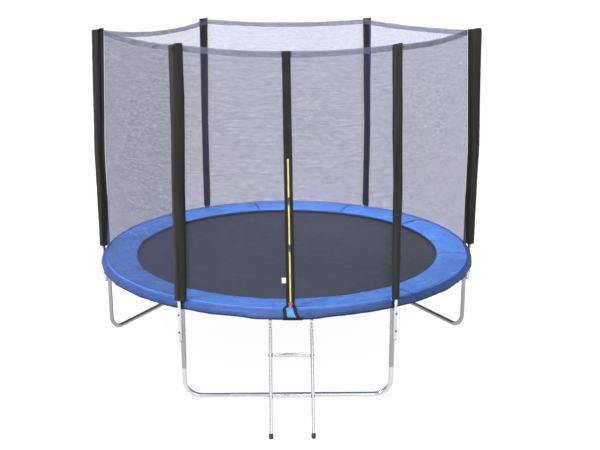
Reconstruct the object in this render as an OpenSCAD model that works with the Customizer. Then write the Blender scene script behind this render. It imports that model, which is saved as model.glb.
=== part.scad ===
// Round garden trampoline with a net enclosure, a zipped door and a hook-on ladder.
// Angles round the ring run from the front, which faces -Y, towards +X.
// Radii and angles are about the ring's own centre, and the origin is the middle of the footprint.

/* [Ring] */
// Outer diameter of the ring
ring_d = 3050; // [2700:10:3400]
// Height of the top of the ring above the ground
ring_h = 735; // [650:5:850]
// Diameter of the ring tube
rail_d = 38; // [34:1:45]
// Wall of the ring, leg and base tubes
tube_wall = 1.5; // [1:0.1:2.5]
// Length of a swaged tube end
swage_len = 60; // [40:1:75]
// Clearance between a swaged end and the tube that it slides into
swage_gap = 0.5; // [0.3:0.1:1]

/* [Legs] */
// Diameter of the leg and base tubes
leg_d = 36; // [30:1:40]
// Length of a leg socket, from the middle of the ring tube down
socket_len = 106; // [90:1:140]
// Height of the joint between a leg post and its base
leg_joint_h = 238; // [200:1:320]
// Bend radius of a base at its corners
base_bend_r = 125; // [80:1:160]

/* [Enclosure poles] */
// Diameter of a pole
pole_d = 25; // [20:1:32]
// Wall of a pole
pole_wall = 1.2; // [1:0.1:2]
// Height of the lower end of a pole
pole_foot_h = 463; // [400:1:500]
// Height of the joint between the two halves of a pole
pole_joint_h = 1540; // [1200:10:1700]
// Height of the bend in the upper half above the joint
pole_bend_rise = 35; // [20:1:80]
// Lean of the upper half towards the middle, in degrees
pole_lean = 2.6; // [1:0.1:5]
// Bend radius of the upper half
pole_bend_r = 300; // [200:10:500]
// Length of a pole, from the ground level up to its top end
pole_top = 2553; // [2200:1:2800]
// Clearance between a pole and the ring tube
pole_gap = 0.3; // [0.2:0.1:1]
// Diameter of the bolts that hold a pole
pole_bolt_d = 8; // [6:1:10]
// Height of the lower bolt
low_bolt_h = 527; // [515:1:560]
// Depth of the upper bolt below the middle of the ring tube
top_bolt_drop = 56; // [45:1:65]

/* [Pole sleeves] */
// Wall of the foam tube on a pole
foam_wall = 9; // [5:0.5:14]
// Thickness of the sleeve fabric
sleeve_wall = 1.5; // [1:0.1:3]
// Width of the sewn fin that holds the net
fin_w = 28; // [15:1:40]
// Height of the foot of a sleeve above the ring's top
sleeve_foot_rise = 28; // [20:1:60]
// Length of pole that stands out of the sleeve's top
sleeve_top_drop = 25; // [10:1:50]

/* [Net] */
// Height of the net's lower edge above the ring's top
net_foot_rise = 31; // [28:1:60]
// Drop of the net's upper edge below the pole tops
net_top_drop = 26; // [20:1:60]
// Sag of the upper edge between two poles
net_sag = 30; // [0:1:80]
// Reach of the lower edge past the poles' net line, half way between two poles
net_belly = 14; // [0:1:30]
// Width of the upper hem
top_hem_w = 42; // [25:1:60]
// Width of the lower hem
foot_hem_w = 24; // [15:1:40]
// Thickness of a hem
hem_t = 4; // [2:0.5:6]
// Thickness of the net's cords
net_t = 3; // [2:0.5:5]
// Width of the net's cords
net_cord_w = 14; // [8:1:24]
// Gaps across one net panel
net_cols = 5; // [3:1:7]
// Gaps up one net panel
net_rows = 6; // [3:1:8]

/* [Door] */
// Width of the door strip
strip_w = 60; // [50:1:90]
// Thickness of the door strip
strip_t = 4; // [3:0.5:6]
// Place of the strip's foot, to the right of the middle
strip_foot_x = 20; // [-30:1:30]
// Place of the strip's top, to the right of the middle
strip_top_x = -5; // [-30:1:30]
// Width of the zip
zip_w = 13; // [8:1:20]
// Thickness of the zip
zip_t = 2.5; // [1.5:0.5:4]
// Length of the zip
zip_len = 1010; // [800:10:1300]
// Height of the zip's end above the strip's foot
zip_foot = 26; // [15:1:60]
// Place of the upper slider along the strip
slider_high = 762; // [700:1:800]
// Place of the lower slider along the strip
slider_low = 435; // [300:1:500]
// Width of the door's tapes
tape_w = 22; // [15:1:30]

/* [Mat and springs] */
// Diameter of the jumping mat
mat_d = 2580; // [2300:10:2900]
// Thickness of the mat
mat_t = 2.4; // [1.5:0.1:4]
// Width of the webbing round the mat
webbing_w = 50; // [30:1:70]
// Thickness of one layer of webbing
webbing_t = 1.5; // [1:0.1:3]
// Springs on each ring tube
rail_springs = 10; // [6:1:12]
// Diameter of a spring
spring_d = 22; // [16:1:28]
// Diameter of the spring wire
spring_wire = 3; // [2:0.1:4]
// Thickness of a V ring's wire
v_wire = 3; // [2:0.5:4]

/* [Safety pad] */
// Width of the pad over the springs
pad_w = 277; // [220:1:330]
// Thickness of the pad over the ring
pad_t = 25; // [15:1:40]
// Drop of the pad's inner edge
pad_fall = 9; // [0:1:14]
// Depth of the dips at the pad's seams
seam_dip = 5; // [2:1:8]
// Number of seams across the pad
seams = 12; // [6:1:16]
// Drop of the skirt's hem below the ring's top
hem_drop = 31; // [24:1:45]
// Thickness of the skirt
skirt_t = 1.5; // [1:0.1:3]
// Height of the waves in the hem
skirt_wave = 3; // [0:0.5:5]
// Bulge of the hem over the ladder's hooks
hook_bulge = 26; // [22:1:40]

/* [Ladder] */
// Distance between the ladder's side tubes
ladder_w = 286; // [240:1:360]
// Diameter of the side tubes
side_d = 25; // [20:1:30]
// Wall of the side tubes
side_wall = 1.2; // [1:0.1:2]
// Diameter of a rung
rung_d = 28; // [22:1:32]
// Lean of the ladder, in degrees
ladder_lean = 30.5; // [25:0.5:35]
// Turn of the ladder to the right of the front, in degrees
ladder_turn = 0.8; // [-2:0.1:2]
// Thickness of a hook
hook_t = 3; // [2:0.5:4]
// Width of a hook
hook_w = 25; // [18:1:32]
// Clearance between a hook and the ring tube
hook_gap = 2; // [1.5:0.1:3]
// Diameter of the ladder's bolts
ladder_bolt_d = 6; // [5:1:8]

/* [Hidden] */
$fn = 48;
fine = 240;         // facets of a whole turn of the ring
very_fine = 900;    // facets of a whole turn of a pole's shallow bend
eps = 0.01;
fit = 0.3;          // clearance between pieces that rest on each other
hole_gap = 0.3;     // clearance round a bolt

// The six legs, and the three bases that join them two by two.
LEGS = ["front_left", "front_right", "right", "back_right", "back_left", "left"];
BASES = ["front", "right", "left"];
sector = 360 / len(LEGS);
function leg_angle(i) = sector * (i - 0.5);
function base_angle(i) = 2 * sector * i;

// Ring and legs.
ring_r = ring_d / 2 - rail_d / 2;
ring_z = ring_h - rail_d / 2;
rail_bore = rail_d - 2 * tube_wall;
rail_swage = rail_bore - 2 * swage_gap;
swage_turn = swage_len / ring_r * 180 / PI;
neck_turn = 4 / ring_r * 180 / PI;
leg_bore = leg_d - 2 * tube_wall;
leg_swage = leg_bore - 2 * swage_gap;
socket_foot = ring_z - socket_len;
half_span = ring_r * sin(sector / 2);
leg_y = ring_r * cos(sector / 2);

// A base: a straight run on the ground between two corner bends.
half_run = half_span - base_bend_r;
bend_z = leg_d / 2 + base_bend_r;

// Poles. The place of a pole's axis a length s up the pole is [radius, height].
pole_r = ring_r + rail_d / 2 + pole_gap + pole_d / 2;
pole_bore = pole_d - 2 * pole_wall;
bend_s = pole_joint_h + pole_bend_rise;
bend_swell = 0.1;
bend_len = pole_bend_r * pole_lean * PI / 180;
kink_z = bend_s + pole_bend_r * tan(pole_lean / 2);
spigot_len = 60;
spigot_gap = 0.4;
function bend_a(s) = min(pole_lean, max(0, s - bend_s) / pole_bend_r * 180 / PI);
function past_bend(s) = max(0, s - bend_s - bend_len);
function pole_at(s) = [
    pole_r - pole_bend_r * (1 - cos(bend_a(s))) - past_bend(s) * sin(pole_lean),
    min(s, bend_s) + pole_bend_r * sin(bend_a(s)) + past_bend(s) * cos(pole_lean)
];
function pole_radius(z) = pole_r - max(0, z - kink_z) * tan(pole_lean);
cap_h = 45;
cap_wall = 4;
bolt_heights = [low_bolt_h, ring_z - top_bolt_drop];
bolt_in = ring_r - leg_d / 2;
bolt_out = pole_r + pole_d / 2;

// Foam and sleeve.
foam_d = pole_d + 2 * (0.5 + foam_wall);
sleeve_bore = foam_d + 2 * fit;
sleeve_d = sleeve_bore + 2 * sleeve_wall;
sleeve_foot = ring_h + sleeve_foot_rise;
sleeve_top = pole_top - sleeve_top_drop;
foam_foot = sleeve_foot + 5;
foam_top = pole_top + cap_wall - cap_h - 5;
fin_reach = sleeve_d / 2 + fin_w;

// Net. A panel spans from leg to leg; u runs across it and h up it, both from 0 to 1.
net_foot = ring_h + net_foot_rise;
net_top = pole_at(pole_top)[1] - net_top_drop;
net_h = net_top - net_foot;
function unit(v) = v / norm(v);
function out_dir(a) = [sin(a), -cos(a)];
function net_edge(z) = pole_radius(z) - fin_reach - fit - hem_t / 2;
function straight_edge(h) = net_edge(net_foot) + (net_edge(net_top) - net_edge(net_foot)) * h;
function kink_offset(h) = net_edge(net_foot + net_h * h) - straight_edge(h);
function chord(a, u) = out_dir(a) * (1 - u) + out_dir(a + sector) * u;
function belly(a, u) = net_edge(net_foot) * (1 - norm(chord(a, u))) + net_belly * sin(180 * u);
function net_xy(a, u, h) =
    chord(a, u) * straight_edge(h)
    + unit(chord(a, u)) * belly(a, u) * (1 - h)
    + out_dir(a) * kink_offset(h) * pow(max(0, 1 - 2 * u), 2)
    + out_dir(a + sector) * kink_offset(h) * pow(max(0, 2 * u - 1), 2);
function net_z(u, h) = net_foot + net_h * h - 4 * net_sag * u * (1 - u) * h;
function net_at(a, u, h) = [net_xy(a, u, h)[0], net_xy(a, u, h)[1], net_z(u, h)];
step = 0.002;
function net_normal(a, u, h) = unit(cross(
    net_at(a, u + step, h) - net_at(a, u - step, h),
    net_at(a, u, h + step) - net_at(a, u, h - step)));
function net_off(a, u, h, d) = net_at(a, u, h) + net_normal(a, u, h) * d;
// The share of the net's height at which the cords stop, below and above, clear of the hems.
hem_clear = 0.85;
cord_foot = (foot_hem_w + hem_clear) / net_h;
cord_top = 1 - (top_hem_w + hem_clear) / (net_h - net_sag);
// Half the gap between two panels at a pole, as a share of a panel's width.
seam_u = 1 / net_edge(net_foot);

// Door strip: a straight bar along the front panel's middle line, just outside the net.
door_a = leg_angle(0);
function door_u(x, h) = 0.5 + x / (straight_edge(h) + 2 * belly(door_a, 0.5) * (1 - h) / sqrt(3));
function strip_x(h) = strip_foot_x + (strip_top_x - strip_foot_x) * h;
door_foot = net_at(door_a, door_u(strip_foot_x, 0), 0);
door_top = net_at(door_a, door_u(strip_top_x, 1), 1);
strip_len = norm(door_top - door_foot);
strip_dir = (door_top - door_foot) / strip_len;
strip_tilt = -asin(strip_dir[1]);
strip_slant = asin(strip_dir[0] / cos(strip_tilt));
strip_back = hem_t / 2 + fit;
zip_back = strip_back + strip_t;
slider_h = 26;
slider_t = 3;
flange_w = 2.5;
pull_len = 34;
pull_w = 8;
pull_t = 2;
seam_half = 6;      // half the gap between the door's two net halves

// Mat, V rings and springs.
mat_z = ring_z + 2;
spring_z = mat_z + spring_wire / 2 + v_wire / 2 + 1;
v_foot = mat_d / 2 + 1.3;
v_h = 30;
v_half = 17;
v_tip = 5;
hook_r = spring_z - mat_z;
v_bar = v_foot + v_h - v_wire / 2;
hook_out_r = 5;
spring_turn = sector / rail_springs;
hole_d = spring_wire + 5;
wall_r = ring_r - sqrt(pow(rail_bore / 2, 2) - pow(spring_z - ring_z, 2));
taper_len = 12;
coil_in = v_bar + 20;
coil_out = wall_r - 20;
function spring_angle(k) = spring_turn * (k - (rail_springs - 1) / 2);

// Pad: its cross-section is [radius, height] points round the ring's own section.
pad_r = ring_r + rail_d / 2 - 5;
pad_in = pad_r - pad_w;
pad_foot = ring_h + 0.4;
pad_top = pad_foot + pad_t;
webbing_top = mat_z + v_wire / 2 + fit + webbing_t;
pad_lip = webbing_top + 1.2;
seam_half_turn = 1.2;
seam_steps = [0, seam_half_turn, 360 / seams * 0.3, 360 / seams * 0.5, 360 / seams * 0.7,
    360 / seams - seam_half_turn];
function pad_section(dip) = [
    [pad_in + dip * 0.8, pad_lip + 6],
    [pad_in + 4 + dip * 0.8, pad_lip],
    [pad_in + 70, pad_lip + 2],
    [pad_in + 118, pad_foot],
    [pad_r - 3, pad_foot],
    [pad_r, pad_foot + 3],
    [pad_r - dip * 0.4, pad_top - 9],
    [pad_r - 9, pad_top - 3 - dip],
    [pad_r - 50, pad_top - dip],
    [pad_in + 50, pad_top - pad_fall * 0.5 - dip],
    [pad_in + 9 + dip * 0.8, pad_top - pad_fall - 2 - dip]
];

// Skirt: a thin sheet that hangs from the pad's outer side, in one length between two poles.
skirt_top = pad_foot + 16;
skirt_foot = ring_h - hem_drop;
skirt_h = skirt_top - skirt_foot;
skirt_in = pad_r + 1;
skirt_splay = 9.6;
skirt_part = pole_d / 2 + 3.5;
skirt_cols = 17;
skirt_waves = 30;
bulge_flat = 7.5;
bulge_end = 13;
function ease(t) = t < 0 ? 0 : t > 1 ? 1 : t * t * (3 - 2 * t);
function turned(a) = abs(a) > 180 ? 360 - abs(a) : abs(a);
function bulge_at(a) = hook_bulge * ease((bulge_end - turned(a)) / (bulge_end - bulge_flat));
function fall(z) = (skirt_top - z) / skirt_h;
function skirt_radius(a, z) = skirt_in + skirt_splay * fall(z) + bulge_at(a) * fall(z)
    + skirt_wave * sin(skirt_waves * a) * pow(fall(z), 2);

// Ladder: it hinges on the ring tube, along a line between its two hooks.
ladder_half = ladder_w / 2;
hinge_y = sqrt(pow(ring_r, 2) - pow(ladder_half, 2));
hook_in = rail_d / 2 + hook_gap;
hook_out = hook_in + hook_t;
side_y = hook_in - side_d / 2 - fit;
side_top = hook_out + 4;
ground_s = (ring_z + side_y * sin(ladder_lean)) / cos(ladder_lean);
side_end = ground_s - 20;
foot_d = side_d + 6;
hook_lip = 8;
hook_len = 100;
hook_bolts = [66, 88];
rung_count = 2;
function rung_s(k) = ground_s * k / (rung_count + 1);
ladder_reach = hinge_y + ground_s * sin(ladder_lean) + side_y * cos(ladder_lean)
    + foot_d / 2 / cos(ladder_lean);
back_reach = skirt_in + skirt_splay + skirt_t + skirt_wave;
// The ring stands behind the origin, because the ladder reaches out at the front.
ring_y = (ladder_reach - back_reach) / 2;

// ---- Helpers ----

// Puts a piece made round the ring's centre where the ring stands.
module at_ring() {
    translate([0, ring_y, 0]) children();
}

// Turns a piece made at the front to an angle round the ring.
module at_angle(a) {
    rotate([0, 0, a]) children();
}

// A round bar along the ring's curve, from angle a0 to a1.
module ring_bar(d, a0, a1) {
    translate([0, 0, ring_z])
        rotate([0, 0, a0 - 90])
            rotate_extrude(angle = a1 - a0, $fn = fine)
                translate([ring_r, 0])
                    circle(d = d, $fn = 48);
}

// A round bar that points outwards from the ring's centre, at the front.
module radial_bar(d, r0, r1, z) {
    translate([0, -r0, z]) rotate([90, 0, 0]) cylinder(d = d, h = r1 - r0);
}

// Children are drawn in a pole's section: x points away from the ring's centre.
// At the bend the section grows by $swell all round, so that the straight parts end inside it.
module along_pole(s0, s1) {
    turn = 2 / pole_bend_r * 180 / PI;
    s2 = max(s0, bend_s + bend_len);
    if (s0 < bend_s)
        translate([0, -pole_r, s0])
            rotate([0, 0, -90])
                linear_extrude(min(s1, bend_s) - s0, $swell = 0) children();
    if (s0 < bend_s && s1 > bend_s)
        translate([0, pole_bend_r - pole_r, bend_s])
            rotate([90, 0, -90])
                rotate([0, 0, -turn])
                    rotate_extrude(angle = pole_lean + 2 * turn, $fn = very_fine, $swell = bend_swell)
                        translate([pole_bend_r, 0]) children();
    if (s1 > s2)
        translate([0, -pole_at(s2)[0], pole_at(s2)[1]])
            rotate([-pole_lean, 0, 0])
                rotate([0, 0, -90])
                    linear_extrude(s1 - s2, $swell = 0) children();
}

// Puts a piece on a pole's axis, a length s up the pole, with Z along the pole.
module on_pole(s) {
    translate([0, -pole_at(s)[0], pole_at(s)[1]])
        rotate([-bend_a(s), 0, 0]) children();
}

// A sheet through two grids of points, outer and inner, in rows from the bottom up.
// With holes, every second cell of every second row is left open.
module sheet(outer, inner, cols, rows, holes = false) {
    n = cols * rows;
    function at(c, side) = side * n + c[1] * cols + c[0];
    function solid(i, j) =
        i >= 0 && j >= 0 && i < cols - 1 && j < rows - 1 && !(holes && i % 2 == 1 && j % 2 == 1);
    function quad(a, b, c, d) = [[a, b, c], [a, c, d]];
    beside = [[-1, 0], [0, 1], [1, 0], [0, -1]];
    faces = [
        for (i = [0:cols - 2]) for (j = [0:rows - 2]) if (solid(i, j))
            let (c = [[i, j], [i, j + 1], [i + 1, j + 1], [i + 1, j]])
            each concat(
                quad(at(c[0], 0), at(c[1], 0), at(c[2], 0), at(c[3], 0)),
                quad(at(c[3], 1), at(c[2], 1), at(c[1], 1), at(c[0], 1)),
                [for (k = [0:3]) if (!solid(i + beside[k][0], j + beside[k][1]))
                    each quad(at(c[(k + 1) % 4], 0), at(c[k], 0), at(c[k], 1), at(c[(k + 1) % 4], 1))]
            )
    ];
    polyhedron(points = concat(outer, inner), faces = faces);
}

// ---- Frame ----

// One sixth of the ring: a curved tube with a swaged end, a welded leg socket and spring holes.
module rail() {
    half = sector / 2;
    difference() {
        union() {
            ring_bar(rail_d, -half, half);
            ring_bar(rail_swage, half - neck_turn, half + swage_turn);
            translate([0, -ring_r, socket_foot]) cylinder(d = leg_d, h = socket_len);
        }
        ring_bar(rail_bore, -half - neck_turn, half - neck_turn);
        ring_bar(rail_swage - 2 * tube_wall, half - 2 * neck_turn, half + swage_turn + neck_turn);
        translate([0, -ring_r, socket_foot - 1])
            cylinder(d = leg_bore, h = socket_len - rail_d / 2 - 2);
        radial_bar(pole_bolt_d + 2 * hole_gap, ring_r - leg_d, ring_r + leg_d, bolt_heights[1]);
        for (k = [0:rail_springs - 1])
            at_angle(spring_angle(k)) radial_bar(hole_d, ring_r - rail_d, ring_r - 5, spring_z);
    }
}

module leg_post() {
    difference() {
        union() {
            translate([0, -ring_r, leg_joint_h]) cylinder(d = leg_d, h = socket_foot - leg_joint_h);
            translate([0, -ring_r, socket_foot - 1]) cylinder(d = leg_swage, h = swage_len + 1);
        }
        translate([0, -ring_r, leg_joint_h - 1])
            cylinder(d = leg_bore, h = socket_foot - leg_joint_h - 3);
        translate([0, -ring_r, leg_joint_h])
            cylinder(d = leg_swage - 2 * tube_wall, h = socket_foot - leg_joint_h + swage_len + 1);
        for (z = bolt_heights)
            radial_bar(pole_bolt_d + 2 * hole_gap, ring_r - leg_d, ring_r + leg_d, z);
    }
}

// The path of a base's tube, with its middle on the Y axis.
module base_path(d, top) {
    module bend() {
        translate([half_run, 0, bend_z])
            rotate([90, 0, 0])
                rotate([0, 0, -90])
                    rotate_extrude(angle = 90, $fn = fine)
                        translate([base_bend_r, 0]) circle(d = d, $fn = 48);
    }
    bend();
    mirror([1, 0, 0]) bend();
    for (side = [-1, 1])
        translate([side * half_span, 0, bend_z]) cylinder(d = d, h = top - bend_z);
    translate([-half_run, 0, leg_d / 2]) rotate([0, 90, 0]) cylinder(d = d, h = 2 * half_run);
}

// One leg base: a bent tube on the ground, with swaged ends that stand up into two posts.
module leg_base() {
    translate([0, -leg_y, 0])
        difference() {
            union() {
                base_path(leg_d, leg_joint_h);
                for (side = [-1, 1])
                    translate([side * half_span, 0, leg_joint_h - 1])
                        cylinder(d = leg_swage, h = swage_len + 1);
            }
            base_path(leg_bore, leg_joint_h - 4);
            for (side = [-1, 1])
                translate([side * half_span, 0, leg_joint_h - 6])
                    cylinder(d = leg_swage - 2 * tube_wall, h = swage_len + 7);
        }
}

// ---- Enclosure poles ----

module pole_lower() {
    difference() {
        translate([0, -pole_r, pole_foot_h]) cylinder(d = pole_d, h = pole_joint_h - pole_foot_h);
        translate([0, -pole_r, pole_foot_h - 1])
            cylinder(d = pole_bore, h = pole_joint_h - pole_foot_h + 2);
        for (z = bolt_heights)
            radial_bar(pole_bolt_d + 2 * hole_gap, pole_r - pole_d, pole_r + pole_d, z);
    }
}

module pole_upper() {
    difference() {
        union() {
            along_pole(pole_joint_h, pole_top) circle(d = pole_d + 2 * $swell);
            translate([0, -pole_r, pole_joint_h - spigot_len])
                cylinder(d = pole_bore - 2 * spigot_gap, h = spigot_len + 1);
        }
        along_pole(pole_joint_h + 4, pole_top + 1) circle(d = pole_bore + 2 * $swell);
        translate([0, -pole_r, pole_joint_h - spigot_len - 1])
            cylinder(d = pole_bore - 2 * spigot_gap - 2 * pole_wall, h = spigot_len + 7);
    }
}

// A cap on the pole's top, with a peg outside that holds the net's upper edge.
module pole_cap() {
    peg_d = 12;
    peg_len = 24;
    cap_d = pole_d + 0.6 + 2 * cap_wall;
    on_pole(pole_top)
        difference() {
            union() {
                translate([0, 0, cap_wall - cap_h]) cylinder(d = cap_d, h = cap_h - 3);
                translate([0, 0, cap_wall - 3]) cylinder(d1 = cap_d, d2 = cap_d - 6, h = 3);
                translate([0, -cap_d / 2 + 2, cap_wall - 17])
                    rotate([90, 0, 0]) cylinder(d = peg_d, h = peg_len);
                translate([0, -cap_d / 2 + 2 - peg_len, cap_wall - 17])
                    rotate([90, 0, 0]) cylinder(d = peg_d + 5, h = 4);
            }
            translate([0, 0, -cap_h]) cylinder(d = pole_d + 0.6, h = cap_h + fit);
        }
}

module pole_plug() {
    translate([0, -pole_r, pole_foot_h - 4]) cylinder(d = pole_d, h = 4 - fit / 3);
    translate([0, -pole_r, pole_foot_h - 1]) cylinder(d = pole_bore - 0.6, h = 14);
}

// A bolt through pole and leg: hexagon head and washer outside, nut inside the leg.
module pole_bolt(z) {
    head_d = pole_bolt_d * 1.7;
    head_h = pole_bolt_d * 0.65;
    washer_t = 1.6;
    nut_gap = fit + washer_t;
    radial_bar(pole_bolt_d, bolt_in - nut_gap - 10, bolt_out + fit + washer_t + 1, z);
    radial_bar(pole_bolt_d * 2, bolt_out + fit, bolt_out + fit + washer_t, z);
    radial_bar(head_d, bolt_out + fit + washer_t, bolt_out + fit + washer_t + head_h, z, $fn = 6);
    radial_bar(pole_bolt_d * 2, bolt_in - nut_gap, bolt_in - fit, z);
    radial_bar(head_d, bolt_in - nut_gap - head_h, bolt_in - nut_gap, z, $fn = 6);
}

// Two lengths of foam tube on each pole, one under the bend and one over it.
module foam_pair() {
    for (ends = [[foam_foot, bend_s - 4], [bend_s + bend_len + 4, foam_top]])
        along_pole(ends[0], ends[1])
            difference() {
                circle(d = foam_d);
                circle(d = pole_d + 1);
            }
}

// A fabric sleeve round the foam, with the seam allowance as a flat fin on the inner side.
module sleeve() {
    along_pole(sleeve_foot, sleeve_top)
        difference() {
            union() {
                circle(d = sleeve_d + 2 * $swell);
                translate([-fin_reach - $swell, -sleeve_wall - $swell])
                    square([fin_w + 2, 2 * sleeve_wall + 2 * $swell]);
            }
            circle(d = sleeve_bore - 2 * $swell);
        }
}

// ---- Net ----

// The edges of the cords, as shares from 0 to 1, for n gaps and cords of share w.
function cord_edges(n, w) = [
    for (k = [0:n]) each [(1 - w) * k / n, (1 - w) * k / n + w]
];

// A net panel from leg i to the next, or the part of it from u0(h) to u1(h).
module net_panel(i, cols, from_door = 0, to_door = 0) {
    a = leg_angle(i);
    width = net_edge(net_foot);
    share = (from_door || to_door) ? 2 : 1;
    us = cord_edges(cols, net_cord_w / width * share);
    hs = cord_edges(net_rows, net_cord_w / net_h);
    function low_u(h) = from_door ? door_u(strip_x(h) + seam_half, h) : seam_u;
    function high_u(h) = to_door ? door_u(strip_x(h) - seam_half, h) : 1 - seam_u;
    function height(t) = cord_foot + (cord_top - cord_foot) * t;
    function grid(d) = [
        for (t = hs) for (w = us)
            let (h = height(t)) net_off(a, low_u(h) + (high_u(h) - low_u(h)) * w, h, d)
    ];
    sheet(grid(net_t / 2), grid(-net_t / 2), len(us), len(hs), true);
}

// A band round the whole enclosure, between two shares of the net's height at each place.
module hem(low, high, cols) {
    n = cols * len(LEGS);
    function corner(k, top, d) =
        let (i = floor(k / cols), u = k / cols - i)
        net_off(leg_angle(i), u, top ? high(u) : low(u), d);
    points = [
        for (k = [0:n - 1]) each [
            corner(k, 0, hem_t / 2), corner(k, 1, hem_t / 2),
            corner(k, 1, -hem_t / 2), corner(k, 0, -hem_t / 2)]
    ];
    faces = [
        for (k = [0:n - 1]) for (j = [0:3])
            let (p = 4 * k, q = 4 * ((k + 1) % n), m = (j + 1) % 4)
            each [[p + j, p + m, q + m], [p + j, q + m, q + j]]
    ];
    polyhedron(points = points, faces = faces);
}

module net_top_hem() {
    hem(function (u) 1 - top_hem_w / (net_h - 4 * net_sag * u * (1 - u)), function (u) 1, 4);
}

module net_foot_hem() {
    hem(function (u) 0, function (u) foot_hem_w / net_h, 6);
}

// ---- Door ----

// Puts a piece on the door strip's line: Z runs up the strip and -Y points away from the net.
module on_strip() {
    translate(door_foot) rotate([strip_tilt, strip_slant, 0]) children();
}

module door_strip() {
    on_strip()
        translate([-strip_w / 2, -strip_back - strip_t, 0])
            cube([strip_w, strip_t, strip_len]);
}

module zip_tape() {
    on_strip()
        translate([-zip_w / 2, -zip_back - zip_t, zip_foot])
            cube([zip_w, zip_t, zip_len]);
}

// A slider that grips the zip on both sides, with a pull that hangs from its face.
module zip_slider(s) {
    inner_w = zip_w + 2 * fit;
    outer_w = inner_w + 2 * flange_w;
    on_strip()
        translate([0, -zip_back - fit, s]) {
            rotate([90, 0, 0])
                linear_extrude(zip_t + slider_t)
                    difference() {
                        square([outer_w, slider_h], center = true);
                        square([inner_w, 2 * slider_h], center = true);
                    }
            translate([0, -zip_t, 0])
                rotate([90, 0, 0])
                    linear_extrude(slider_t) square([inner_w + 1, slider_h], center = true);
            translate([0, -zip_t - slider_t, 0])
                rotate([90, 0, 0])
                    linear_extrude(pull_t)
                        difference() {
                            union() {
                                translate([0, -pull_len]) circle(d = pull_w + 2);
                                translate([-pull_w / 2, -pull_len]) square([pull_w, pull_len + 4]);
                                translate([0, 4]) circle(d = pull_w);
                            }
                            translate([0, -pull_len]) circle(d = pull_w / 2);
                        }
        }
}

// A small pointed tab sewn over the zip's lower end.
module zip_end_tab() {
    tab_h = 24;
    on_strip()
        translate([0, -zip_back, 0])
            rotate([90, 0, 0])
                linear_extrude(1.5)
                    polygon([[-16, tab_h], [-9, 1], [9, 1], [16, tab_h]]);
}

// Tapes that spread from the strip's foot, over the pad's edge and down the skirt.
module door_tapes() {
    tape_t = 2;
    seat = 0.5;
    // Place and height along a tape: over the pad, then down the skirt.
    function tape_r(a, z) = skirt_radius(a, z) + skirt_t + seat;
    downs = [0.12, 0.4, 0.7, 0.96];
    function tape_line(x0, x1) = concat(
        [[x0, pad_r - 14, pad_top + 1.2], [x0, pad_r - 2, pad_top - 1], [x0, pad_r + 3.5, pad_top - 8]],
        [for (t = downs) let (x = x0 + (x1 - x0) * t, z = skirt_top - skirt_h * t)
            [x, tape_r(asin(x / pad_r), z), z]]);
    function edge(line, k, side, lift) =
        let (p = line[len(line) - 1 - k], x = p[0] + side * tape_w / 2,
            r = p[1] + (p[2] > pad_top - 5 ? 0.3 : 1) * lift, z = p[2] + (p[2] > pad_top - 5 ? lift : 0))
        [x, -sqrt(r * r - x * x), z];
    for (ends = [[-16, -20], [46, 84]])
        let (line = tape_line(ends[0], ends[1]), n = len(line))
        sheet(
            [for (k = [0:n - 1]) each [edge(line, k, -1, tape_t), edge(line, k, 1, tape_t)]],
            [for (k = [0:n - 1]) each [edge(line, k, -1, 0), edge(line, k, 1, 0)]],
            2, n);
    // The band that ties the two tapes together at the hem.
    for (z = [skirt_foot])
        let (a0 = asin(-6 / pad_r), a1 = asin(70 / pad_r), cols = 6,
            rows = [z + 2, z + 20], gap = seat)
        sheet(
            [for (h = rows) for (k = [0:cols - 1]) let (a = a0 + (a1 - a0) * k / (cols - 1),
                r = tape_r(a, h) + tape_t) [r * sin(a), -r * cos(a), h]],
            [for (h = rows) for (k = [0:cols - 1]) let (a = a0 + (a1 - a0) * k / (cols - 1),
                r = tape_r(a, h)) [r * sin(a), -r * cos(a), h]],
            cols, 2);
}

// At each pole's foot, an elastic loop round the pole and a strap down past the skirt.
module sleeve_tie(side) {
    loop_d = 4;
    loop_r = pole_d / 2 + fit + loop_d / 2;
    strap_w = 16;
    strap_t = 2;
    strap_in = skirt_in + skirt_splay + skirt_wave + skirt_t + 0.5;
    translate([0, -pole_r, sleeve_foot - fit - loop_d / 2])
        rotate_extrude() translate([loop_r, 0]) circle(d = loop_d);
    translate([side * (pole_d / 2 + 1 + strap_w / 2), -strap_in, skirt_foot])
        rotate([90, 0, 0])
            linear_extrude(strap_t)
                translate([-strap_w / 2, 0]) square([strap_w, sleeve_foot - fit - skirt_foot]);
}

// ---- Mat and springs ----

module jumping_mat() {
    translate([0, 0, mat_z - mat_t / 2]) cylinder(d = mat_d, h = mat_t, $fn = fine);
}

// Two layers of webbing, above and below the V rings' feet.
module mat_webbing() {
    outer_d = mat_d + 14;
    for (z = [mat_z + v_wire / 2 + fit, mat_z - v_wire / 2 - fit - webbing_t])
        translate([0, 0, z])
            difference() {
                cylinder(d = outer_d, h = webbing_t, $fn = fine);
                translate([0, 0, -1]) cylinder(d = outer_d - 2 * webbing_w, h = webbing_t + 2, $fn = fine);
            }
}

// A V ring lies flat, with its foot between the webbing layers and its tip outwards.
module v_ring() {
    slope = (v_half - v_tip) / v_h;
    wall = v_wire * sqrt(1 + slope * slope);
    function half_at(y) = v_half - slope * y;
    translate([0, -v_foot, mat_z - v_wire / 2])
        linear_extrude(v_wire)
            difference() {
                polygon([[-v_half, 0], [v_half, 0], [v_tip, -v_h], [-v_tip, -v_h]]);
                polygon([
                    [-half_at(v_wire) + wall, -v_wire], [half_at(v_wire) - wall, -v_wire],
                    [half_at(v_h - v_wire) - wall, v_wire - v_h],
                    [wall - half_at(v_h - v_wire), v_wire - v_h]]);
            }
}

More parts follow.
